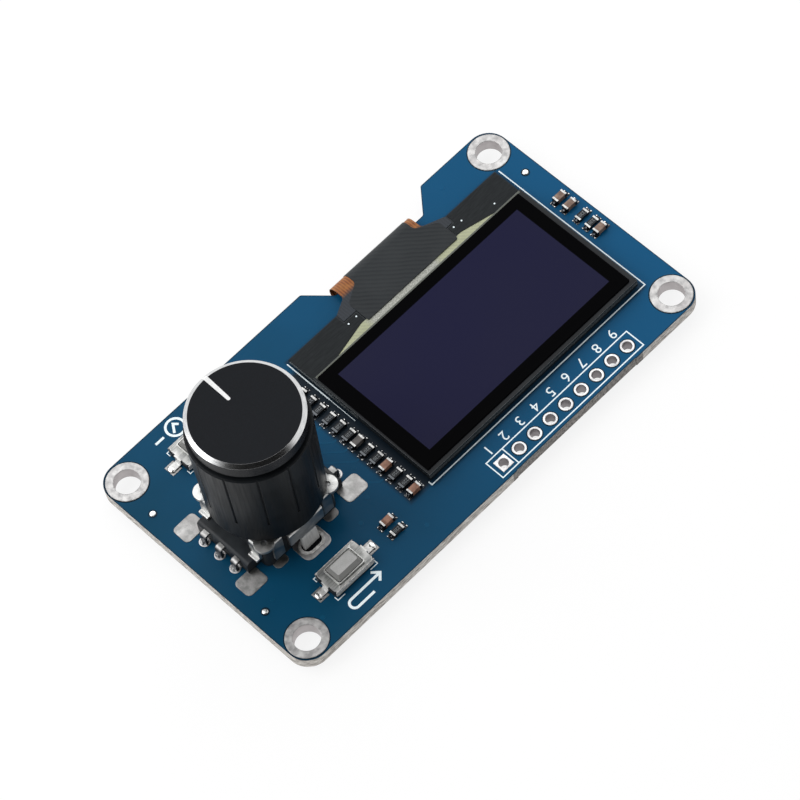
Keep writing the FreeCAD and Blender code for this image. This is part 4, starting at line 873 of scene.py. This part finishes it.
def chip_land_boxes():
    """Boxes in millimetres round the lands of each chip column."""
    columns = {}
    for name in CHIPS:
        low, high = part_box(name)
        columns.setdefault(round(low.x + high.x, 3), []).append((low, high))
    boxes = []
    for chips in columns.values():
        left = min(low.x for low, high in chips) / MM - 0.84
        right = max(high.x for low, high in chips) / MM + 0.84
        front = min(low.y for low, high in chips) / MM - 0.2
        back = max(high.y for low, high in chips) / MM + 0.2
        boxes.append(((left, front, 1.0), (right, back, 2.0)))
    return boxes


def leg_places():
    """Middles of the two slots that hold the legs of the encoder's cover."""
    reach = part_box("encoder_cover")[1].y - ENCODER_Y - 0.15 * MM
    return [(ENCODER_X, ENCODER_Y - reach), (ENCODER_X, ENCODER_Y + reach)]


def leg_boxes(bottom, top):
    """Boxes in millimetres round the two legs, between two heights."""
    places = [(x / MM, y / MM) for x, y in leg_places()]
    return [((x - 1.25, y - 0.7, bottom), (x + 1.25, y + 0.7, top)) for x, y in places]


def test_places():
    """Middles of the three round test lands near the board's ends."""
    left = BOARD_LOW.x + 1.85 * MM
    right = BOARD_HIGH.x - 1.85 * MM
    low = BOARD_LOW.y + 8.0 * MM
    return [(left, low), (right, low), (right, BOARD_HIGH.y - 8.6 * MM)]


def pin_places():
    """Centres of the pin holes, from the width of their node: nine holes on a 2.54 mm pitch."""
    low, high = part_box("pin_hole_plating")
    return [(low.x + PIN_LAND + index * 2.54 * MM, high.y - PIN_LAND) for index in range(9)]


# Operators, one for each piece or group of like pieces


class MODULE_OT_circuit_board(bpy.types.Operator):
    """Lacquer the board and tin its lands"""

    bl_idname = "module.circuit_board"
    bl_label = "Circuit board"

    def execute(self, context):
        dress(["circuit_board"], solder_mask_on_laminate(context.scene.board_finish))
        # Each wall tone below is partly painted shade and reflection
        rings = hot_tinned_copper("hot tinned rings", "#b4afaf", "#8d8c8c", "#bab9b8")
        dress(["mounting_hole_plating"], rings)
        pins = hot_tinned_copper("hot tinned pin holes", "#8b8688", "#c0bfc0", "#e6e5e5")
        dress(["pin_hole_plating"], pins)
        lands = hot_tinned_copper("hot tinned lands", "#6d686a", chip_boxes=chip_land_boxes())
        dress(["solder_pads"], lands)
        return {"FINISHED"}


class MODULE_OT_tracks(bpy.types.Operator):
    """Lay copper tracks and lacquered holes under the lacquer, above and below"""

    bl_idname = "module.tracks"
    bl_label = "Tracks"

    def execute(self, context):
        material = masked_copper("lacquered copper track", "#0d4460", "#0f537b")
        width = 0.25 * MM
        build = bmesh.new()
        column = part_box("resistor_1")[1].x + 0.75 * MM
        for y in (-6.4, -4.9, -3.2, -0.7, 1.1, 3.0, 6.9):
            start = (column, y * MM)
            knee = (column + 0.5 * MM, y * MM)
            far = (knee[0] + 4.2 * MM, knee[1] - 4.2 * MM)
            add_ribbon(build, [start, knee, far], width, BOARD_TOP + LINE_RISE, BOARD_TOP - LINE_RISE)
        for index, (x, y) in enumerate(pin_places()):
            low = (x, y - 0.8 * MM)
            drop = (x, y - (4.0 + 0.9 * index) * MM)
            end = (x + 6.0 * MM, drop[1] - 6.0 * MM)
            add_ribbon(build, [low, drop, end], width, LINE_RISE, -LINE_RISE)
        finish_build("board_tracks", build, material)
        places = [(11.3, -9.6), (12.6, 7.2), (10.9, 3.4), (15.4, 9.0), (28.8, 8.4), (29.9, 3.2),
                  (-22.4, -15.4), (-4.1, 13.2), (10.6, 14.7), (26.6, 14.2), (11.8, -14.2), (30.2, -3.4)]
        points = [(x * MM, y * MM, z) for z in (BOARD_TOP, 0.0) for x, y in places]
        ring = masked_copper("lacquered copper ring", "#0c415b", "#0e4e76")
        sizes = {"Radius": 0.3 * MM, "Depth": 0.02 * MM}
        run_geometry_tree(via_tree(), "lacquered_holes", points, sizes, ring)
        # The lacquer stops just short of the tin about each hole and leaves a thin dark line
        line = masked_copper("bare laminate line", "#0a1d28", "#0c2531")
        low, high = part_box("mounting_hole_plating")
        land = 2.525 * MM
        circles = [(x, y, land) for x in (low.x + land, high.x - land) for y in (low.y + land, high.y - land)]
        circles += [(x, y, PIN_LAND) for x, y in pin_places()[:-1]]
        build = bmesh.new()
        for x, y, radius in circles:
            outline = arc_points((x, y), radius + 0.07 * MM)
            add_ribbon(build, outline, 0.14 * MM, BOARD_TOP + LINE_RISE, closed=True)
        finish_build("land_outlines", build, line)
        # The lacquer leaves a ring of bare laminate about each round test land, which is tinned in a dome
        laminate = masked_copper("bare laminate ring", "#0a1d28", "#0c2531")
        points = [(x, y, BOARD_TOP) for x, y in test_places()]
        sizes = {"Radius": 0.54 * MM, "Depth": 0.03 * MM}
        run_geometry_tree(via_tree(), "test_rings", points, sizes, laminate)
        tin = reflowed_solder("test land tin", "#c9c9c7", "#f2f2f0")
        points = [(x, y, LAND_TOP) for x, y in test_places()]
        sizes = drop_sizes(0.37 * MM, 0.37 * MM, 0.06 * MM)
        run_geometry_tree(drop_tree(), "test_domes", points, sizes, tin)
        return {"FINISHED"}


class MODULE_OT_screen_print(bpy.types.Operator):
    """Print the outlines, digits and plain signs on the board"""

    bl_idname = "module.screen_print"
    bl_label = "Screen print"

    def execute(self, context):
        finish = context.scene.board_finish
        width = finish.line_width
        top = BOARD_TOP + finish.ink_thickness
        build = bmesh.new()
        self.print_pin_frame(build, width, top, finish)
        self.print_panel_outline(build, width, top)
        for key in ("upper_key_base", "lower_key_base"):
            self.print_key_corners(build, key, width, top)
        self.print_return_arrow(build, top)
        self.print_tick(build, top)
        ink = printing_ink("screen-printed epoxy ink", finish.ink, "#c6dde8")
        finish_build("screen_print", build, ink)
        return {"FINISHED"}

    def print_pin_frame(self, build, width, top, finish):
        """A frame round the pin holes, with the first set apart, and their digits."""
        pins = pin_places()
        left = pins[0][0] - 1.38 * MM
        right = pins[-1][0] + 1.38 * MM
        low = pins[0][1] - 1.43 * MM
        high = pins[0][1] + 1.27 * MM
        corners = [(left, low), (right, low), (right, high), (left, high)]
        add_ribbon(build, corners, width, top, closed=True)
        divider = pins[-1][0] - 1.19 * MM
        add_ribbon(build, [(divider, low), (divider, high)], width, top - CROSSING_STEP)
        for number, (x, y) in enumerate(reversed(pins), start=1):
            place = (x, low - 0.95 * MM)
            add_words(build, str(number), place, finish.digit_height, BOARD_TOP, finish.ink_thickness)

    def print_panel_outline(self, build, width, top):
        """A line round three sides of the panel, open towards the cable and beside the chips."""
        left = LEDGE_LOW.x - 0.77 * MM
        right = LEDGE_HIGH.x + 0.22 * MM
        high = LEDGE_HIGH.y + 0.4 * MM
        low = LEDGE_LOW.y - 0.15 * MM
        tick = high - 0.55 * MM
        add_ribbon(build, [(left, low), (left, high), (right, high), (right, tick)], width, top)
        # Beside the chips the line is thin and starved of ink
        middle = PANEL_LOW.y + 2.6 * MM
        add_ribbon(build, [(right, low), (right, middle)], width, top)
        add_ribbon(build, [(right, middle), (right, PANEL_LOW.y + 6.8 * MM)], width * 0.45, top)

    def print_key_corners(self, build, key, width, top):
        """Short corner marks about a key."""
        low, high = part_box(key)
        arm = 0.55 * MM
        gap = 0.22 * MM
        for side_x, x in ((-1, low.x - gap / 2), (1, high.x + gap / 2)):
            for side_y, y in ((-1, low.y - gap), (1, high.y + gap)):
                corner = [(x - side_x * 2 * arm, y), (x, y), (x, y - side_y * arm)]
                add_ribbon(build, corner, width * 0.7, top)

    def print_return_arrow(self, build, top):
        """A plain arrow that turns back, beside the upper key."""
        low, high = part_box("upper_key_base")
        stroke = 0.32 * MM
        x = (low.x + high.x) / 2 + 0.1 * MM
        y = high.y + 1.85 * MM
        rise = 0.62 * MM
        reach = 2.6 * MM
        line = [(x - reach + 0.15 * MM, y - rise)]
        line += arc_points((x + reach - rise, y), rise, -90, 90, 24)
        line += [(x - reach * 0.2, y + rise)]
        add_ribbon(build, line, stroke, top)
        barb = 0.75 * MM
        tip_x, tip_y = x - reach, y - rise
        head = [(tip_x + barb, tip_y + barb), (tip_x, tip_y), (tip_x + barb, tip_y - barb)]
        add_ribbon(build, head, stroke, top + CROSSING_STEP)

    def print_tick(self, build, top):
        """A plain tick in a ring, beside the lower key."""
        low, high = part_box("lower_key_base")
        stroke = 0.3 * MM
        x = (low.x + high.x) / 2 + 0.1 * MM
        y = low.y - 2.0 * MM
        add_ribbon(build, arc_points((x, y), 1.15 * MM), stroke, top, closed=True)
        tick = [(x - 0.55 * MM, y), (x - 0.1 * MM, y - 0.5 * MM), (x + 0.6 * MM, y + 0.5 * MM)]
        add_ribbon(build, tick, stroke, top)
        for side in (-1, 1):
            start = x + side * 1.8 * MM
            add_ribbon(build, [(start, y), (start + side * 1.3 * MM, y)], stroke, top)


class MODULE_OT_display(bpy.types.Operator):
    """Finish the display panel: glass, film, tape and its small white marks"""

    bl_idname = "module.display"
    bl_label = "Display"

    def execute(self, context):
        finish = context.scene.panel_finish
        dress(["display_polarizer"], polarizing_film(finish))
        dress(["display_cover_glass"], ground_glass_edge())
        dress(["display_rear_glass"], wired_glass(finish))
        dress(["display_ledge_tape"], masking_tape())
        dress(["display_tape"], foam_tape())
        low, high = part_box("display_ledge_tape")
        right_inner = STRIP_HIGH.x + 0.55 * MM
        left_inner = STRIP_LOW.x - 0.75 * MM
        marks = [(right_inner, low.y + 1.7 * MM), (right_inner + 1.3 * MM, low.y + 1.75 * MM),
                 (left_inner, low.y + 1.7 * MM), (left_inner - 1.25 * MM, low.y + 1.75 * MM),
                 (low.x + 3.1 * MM, high.y - 1.1 * MM)]
        radius, thickness = 0.11 * MM, 0.01 * MM
        build = bmesh.new()
        for x, y in marks:
            bmesh.ops.create_cone(build, cap_ends=True, segments=12, radius1=radius, radius2=radius,
                                  depth=thickness, matrix=Matrix.Translation((x, y, high.z + thickness / 2)))
        ink = printing_ink("panel marking ink", context.scene.board_finish.ink, "#b9d3e0")
        finish_build("panel_marks", build, ink)
        return {"FINISHED"}


class MODULE_OT_display_cable(bpy.types.Operator):
    """Finish the flexible cable, its covering strip, driver chip and joints"""

    bl_idname = "module.display_cable"
    bl_label = "Display cable"

    def execute(self, context):
        dress(["flex_cable"], polyimide_film())
        dress(["flex_cover"], ribbed_film())
        dress(["display_driver_chip"], bare_silicon())
        dress(["flex_solder_joints"], reflowed_solder("cable joint solder", "#77797b", "#c9c9c7"))
        return {"FINISHED"}


class MODULE_OT_encoder(bpy.types.Operator):
    """Finish the encoder: moulding, pressed cover, threaded bushing and inner pieces"""

    bl_idname = "module.encoder"
    bl_label = "Encoder"

    def execute(self, context):
        dress(["encoder_base"], black_nylon("black moulded nylon", "#1a1d20", "#262a2e", 0.42))
        # The cover's walls carry a painted reflection of the blue board and the dark mouldings beside them
        cover = plated_sheet_steel("tin-plated sheet steel", ("#6c6e6f", "#a2a3a3"), ("#2b3540", "#56626e"),
                                   leg_boxes(-2.0, 4.0))
        dress(["encoder_cover"], cover)
        casting = plain_metal("nickel-plated zinc", "#9b9c9d", "#c4c5c6", 0.3)
        dress(["encoder_bushing", "encoder_shaft"], casting)
        spring = plain_metal("bright spring steel", "#a7a9ab", "#cfd0d2", 0.22)
        dress(["shaft_retaining_ring", "encoder_detent_spring"], spring)
        add_snap_dome("encoder_push_dome", spring)
        dress(["encoder_terminals", "encoder_contacts"], hot_tinned_copper("tinned terminals", "#55575b"))
        dress(["encoder_wiper"], plain_metal("spring bronze", "#a9743f", "#c99555", 0.28))
        dress(["encoder_rotor", "encoder_push_actuator"], pale_acetal())
        joints = reflowed_solder("encoder joint solder", "#56585b", "#b4b5b4", leg_boxes(1.0, 3.0))
        dress(["encoder_solder_joints"], joints)
        self.cut_thread(casting)
        self.solder_legs()
        return {"FINISHED"}

    def cut_thread(self, casting):
        """A metric fine thread of 0.75 mm pitch stands on the bushing's plain cylinder."""
        radius = (BUSHING_HIGH.x - BUSHING_LOW.x) / 2
        length = 3.4 * MM
        base = (ENCODER_X, ENCODER_Y, BUSHING_HIGH.z - length - 0.45 * MM)
        sizes = {"Radius": radius - 0.04 * MM, "Length": length, "Pitch": 0.75 * MM, "Ridge": 0.16 * MM}
        run_geometry_tree(thread_tree(), "bushing_thread", [base], sizes, casting)

    def solder_legs(self):
        """Solder stands as a bright rim about the slots that hold the cover's legs."""
        build = bmesh.new()
        for x, y in leg_places():
            rim = arc_points((x + 0.58 * MM, y), 0.93 * MM, -90, 90, 12)
            rim += arc_points((x - 0.58 * MM, y), 0.93 * MM, 90, 270, 12)
            add_ribbon(build, rim, 0.34 * MM, BOARD_TOP + 0.2 * MM, closed=True)
        sharp = [edge for edge in build.edges if edge.calc_face_angle(0) > 0.5]
        bmesh.ops.bevel(build, geom=sharp, offset=0.07 * MM, segments=2, affect="EDGES")
        # Painted light: the rim's near-white, mostly non-metallic tone shows it bright
        solder = plain_metal("leg solder", "#bab9b6", "#eeedeb", 0.4, 0.35)
        finish_build("leg_solder_rims", build, solder)


class MODULE_OT_knob(bpy.types.Operator):
    """Finish the knob: ribbed body, anodised cap and paint line"""

    bl_idname = "module.knob"
    bl_label = "Knob"

    def execute(self, context):
        finish = context.scene.knob_finish
        dress(["knob_body"], ribbed_knob_moulding(finish))
        dress(["knob_cap"], anodised_cap(finish))
        dress(["knob_pointer"], filled_paint_line())
        return {"FINISHED"}


class MODULE_OT_keys(bpy.types.Operator):
    """Finish the two keys and solder their leads"""

    bl_idname = "module.keys"
    bl_label = "Keys"

    def execute(self, context):
        # Painted light: the key covers' walls are toned bright, as a lit rim
        steel = plated_sheet_steel("tin-plated key steel", ("#727371", "#a2a3a1"), ("#9c9c99", "#dadad6"))
        finishes = {
            "base": black_nylon("black key moulding", "#17191b", "#24272a", 0.4),
            "cover": steel,
            "plunger": grey_thermoplastic(),
            "leads": hot_tinned_copper("tinned key leads", "#77797b", "#b4b4b3", "#dededc"),
        }
        dome = plain_metal("stainless dome", "#a7a9ab", "#cfd0d2", 0.2)
        skirts = bmesh.new()
        points = []
        for key in ("upper_key_", "lower_key_"):
            for part, material in finishes.items():
                dress([key + part], material)
            add_snap_dome(key + "dome", dome)
            low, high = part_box(key + "leads")
            y = (low.y + high.y) / 2
            points += [(x, y, LAND_TOP) for x in (low.x + 0.1 * MM, high.x - 0.1 * MM)]
            self.fold_skirt(skirts, key)
        solder = reflowed_solder("key solder", "#b9bab9", "#efefed")
        sizes = drop_sizes(0.45 * MM, 0.6 * MM, 0.2 * MM)
        run_geometry_tree(drop_tree(), "key_solder", points, sizes, solder)
        bmesh.ops.bevel(skirts, geom=skirts.edges[:], offset=0.025 * MM, segments=2, affect="EDGES")
        # Painted light: the skirts are near white and mostly non-metallic, so they show bright
        tin = plain_metal("matt tinned skirt", "#9c9a97", "#dddbd8", 0.5, 0.3)
        finish_build("key_skirts", skirts, tin)
        return {"FINISHED"}

    def fold_skirt(self, build, key):
        """The pressed cover is folded down over the long sides of each moulding."""
        low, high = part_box(key + "base")
        middle = (low.x + high.x) / 2
        reach = 2.93 * MM
        bottom = low.z + 0.3 * MM
        top = high.z + 0.19 * MM
        for side, y in ((-1, low.y), (1, high.y)):
            inner, outer = sorted((y - side * 0.1 * MM, y + side * 0.03 * MM))
            add_box(build, (middle - reach, inner, bottom), (middle + reach, outer, top))


class MODULE_OT_chips(bpy.types.Operator):
    """Finish the chips, mark the resistors and solder every end"""

    bl_idname = "module.chips"
    bl_label = "Chips"

    def execute(self, context):
        finish = context.scene.solder_finish
        dress(RESISTORS, glazed_resistor())
        rosy = capacitor_ceramic("fired capacitor ceramic", "#75513f", "#a67c68")
        grey = capacitor_ceramic("dark capacitor ceramic", "#474443", "#66615f")
        brown = capacitor_ceramic("grey brown capacitor ceramic", "#6a5449", "#8f7a6c")
        for name in CHIPS:
            if name not in RESISTORS:
                left_of_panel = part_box(name)[1].x < LEDGE_LOW.x
                dress([name], grey if name == "capacitor_3" else brown if left_of_panel else rosy)
        dress(["chip_end_caps"], tinned_chip_end())
        # Painted reflection: the chips' solder is toned dark, as it mirrors the dark ground, with lighter
        # mottles as painted glints
        solder = reflowed_solder("chip solder", "#2b2e33", "#5c5f63")
        sizes = drop_sizes(finish.blob_length, finish.blob_width / 2, finish.blob_height, 0.85)
        points = chip_points(0.24 * MM, 0.0)
        run_geometry_tree(drop_tree(), "chip_solder", points, sizes, solder)
        # Beads at the lands' outer corners catch the light as bright points
        solder = reflowed_solder("solder beads", "#d9d9d7", "#f6f6f4")
        size = finish.bead_size / 2
        sizes = drop_sizes(size, size * 1.3, size * 0.9, 0.3)
        points = chip_points(0.62 * MM, 0.33 * MM)
        run_geometry_tree(drop_tree(), "solder_beads", points, sizes, solder)
        build = bmesh.new()
        for name in RESISTORS:
            low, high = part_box(name)
            centre = ((low.x + high.x) / 2, (low.y + high.y) / 2)
            add_words(build, "220", centre, 0.4 * MM, high.z, 0.008 * MM)
        ink = printing_ink("resistor marking ink", "#7d8285", "#4c5155")
        finish_build("resistor_marks", build, ink)
        return {"FINISHED"}


def seen_directly(tree):
    """1 for rays from the camera, from a mirror and through glass, 0 for scattered light."""
    camera, glossy, glass = (add_node(tree, "ShaderNodeLightPath", output=f"Is {kind} Ray")
                             for kind in ("Camera", "Glossy", "Transmission"))
    either = add_node(tree, MATH, {0: camera, 1: glossy}, operation="MAXIMUM")
    return add_node(tree, MATH, {0: either, 1: glass}, operation="MAXIMUM")


class MODULE_OT_studio(bpy.types.Operator):
    """Set the pale floor, the soft lights and the camera"""

    bl_idname = "module.studio"
    bl_label = "Studio"

    def execute(self, context):
        settings = context.scene.studio_settings
        self.lay_floor()
        self.light_world(settings)
        self.hang_soft_box("key_box", (0.29, -0.29, 0.42), 0.5, settings.key_power)
        self.hang_soft_box("fill_box", (-0.30, -0.34, 0.36), 0.6, settings.fill_power)
        self.place_camera(context)
        return {"FINISHED"}

    def lay_floor(self):
        """A wide pale floor under the lowest point, white to the camera but for its shadows."""
        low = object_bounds()[0].z
        mesh = bpy.data.meshes.new("studio_floor")
        reach = 3.0
        corners = [(-reach, -reach, low), (reach, -reach, low), (reach, reach, low), (-reach, reach, low)]
        mesh.from_pydata(corners, [], [(0, 1, 2, 3)])
        floor = bpy.data.objects.new("studio_floor", mesh)
        bpy.context.scene.collection.objects.link(floor)
        material = bpy.data.materials.new("matt white card")
        material.use_nodes = True
        tree = material.node_tree
        card = tree.nodes["Principled BSDF"]
        fill_inputs(tree, card, {"Base Color": colour("#f7f7f7"), "Roughness": 0.9, SPECULAR: 0.0})
        glow = add_node(tree, "ShaderNodeEmission", {"Color": (1, 1, 1, 1), "Strength": 1.0})
        share = add_node(tree, MATH, {0: seen_directly(tree), 1: 0.85}, operation="MULTIPLY")
        mixed = add_node(tree, "ShaderNodeMixShader", {0: share, 1: card.outputs[0], 2: glow})
        tree.links.new(mixed, tree.nodes["Material Output"].inputs["Surface"])
        mesh.materials.append(material)
        floor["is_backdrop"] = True

    def light_world(self, settings):
        """Even light from all round; the camera and the metal see it as white."""
        world = bpy.data.worlds.new("studio_sky")
        bpy.context.scene.world = world
        world.use_nodes = True
        tree = world.node_tree
        dim = tree.nodes["Background"]
        fill_inputs(tree, dim, {"Color": (1, 1, 1, 1), "Strength": settings.sky})
        # A black flag hangs in front, which only the mirror-like metal picks up
        towards = add_node(tree, "ShaderNodeTexCoord", output="Generated")
        near = add_node(tree, VECTOR, {0: towards, 1: (0.33, 0.54, 0.77)}, "Value", operation="DOT_PRODUCT")
        flag = add_node(tree, RANGE, {0: near, 1: 0.62, 2: 0.78, 3: 1.0, 4: 0.0})
        glossy = add_node(tree, "ShaderNodeLightPath", output="Is Glossy Ray")
        strength = add_node(tree, MIX, {0: glossy, 2: 1.0, 3: flag})
        bright = add_node(tree, "ShaderNodeBackground", {"Color": (1, 1, 1, 1), "Strength": strength})
        inputs = {0: seen_directly(tree), 1: dim.outputs[0], 2: bright}
        mixed = add_node(tree, "ShaderNodeMixShader", inputs)
        tree.links.new(mixed, tree.nodes["World Output"].inputs["Surface"])

    def hang_soft_box(self, name, place, size, power):
        """A square soft light that looks at the middle of the board."""
        lamp = bpy.data.lights.new(name, "AREA")
        lamp.shape = "SQUARE"
        lamp.size = size
        lamp.energy = power
        box = bpy.data.objects.new(name, lamp)
        box.location = place
        box.rotation_mode = "QUATERNION"
        box.rotation_quaternion = Vector(place).to_track_quat("Z", "Y")
        bpy.context.scene.collection.objects.link(box)

    def place_camera(self, context):
        """The camera, at the photograph's angle, distance and field of view."""
        camera = bpy.data.cameras.new("camera")
        camera.sensor_width = 36.0
        camera.lens = 178.54
        camera.clip_start = 0.01
        camera.clip_end = 10.0
        view = bpy.data.objects.new("camera", camera)
        bpy.context.scene.collection.objects.link(view)
        right = Vector((-0.70202, 0.70498, -0.10089))
        up = Vector((-0.65169, -0.57881, 0.49018))
        back = Vector((0.28717, 0.40986, 0.86576))
        turn = Matrix((right, up, back)).transposed().to_4x4()
        place = Vector((131.214, 186.632, 393.517)) * MM
        view.matrix_world = Matrix.Translation(place) @ turn
        context.scene.camera = view
        context.scene.view_settings.view_transform = "Standard"


PIECES = (
    MODULE_OT_circuit_board,
    MODULE_OT_tracks,
    MODULE_OT_screen_print,
    MODULE_OT_display,
    MODULE_OT_display_cable,
    MODULE_OT_encoder,
    MODULE_OT_knob,
    MODULE_OT_keys,
    MODULE_OT_chips,
    MODULE_OT_studio,
)

SETTINGS = {
    "board_finish": BoardFinish,
    "panel_finish": PanelFinish,
    "knob_finish": KnobFinish,
    "solder_finish": SolderFinish,
    "studio_settings": StudioSettings,
}


class MODULE_PT_panel(bpy.types.Panel):
    """Lists the pieces of the display module and their settings"""

    bl_idname = "MODULE_PT_panel"
    bl_label = "Display Module"
    bl_space_type = "VIEW_3D"
    bl_region_type = "UI"
    bl_category = "Display Module"

    def draw(self, context):
        for name, group in SETTINGS.items():
            box = self.layout.box()
            box.label(text=group.__doc__)
            for setting in group.__annotations__:
                box.prop(getattr(context.scene, name), setting)
        for piece in PIECES:
            self.layout.operator(piece.bl_idname)


def register():
    for name, group in SETTINGS.items():
        bpy.utils.register_class(group)
        setattr(bpy.types.Scene, name, bpy.props.PointerProperty(type=group))
    for piece in PIECES:
        bpy.utils.register_class(piece)
    bpy.utils.register_class(MODULE_PT_panel)


def unregister():
    bpy.utils.unregister_class(MODULE_PT_panel)
    for piece in reversed(PIECES):
        bpy.utils.unregister_class(piece)
    for name, group in SETTINGS.items():
        delattr(bpy.types.Scene, name)
        bpy.utils.unregister_class(group)


def main():
    register()
    bpy.ops.module.circuit_board()
    bpy.ops.module.tracks()
    bpy.ops.module.screen_print()
    bpy.ops.module.display()
    bpy.ops.module.display_cable()
    bpy.ops.module.encoder()
    bpy.ops.module.knob()
    bpy.ops.module.keys()
    bpy.ops.module.chips()
    bpy.ops.module.studio()


if __name__ == "__main__":
    main()
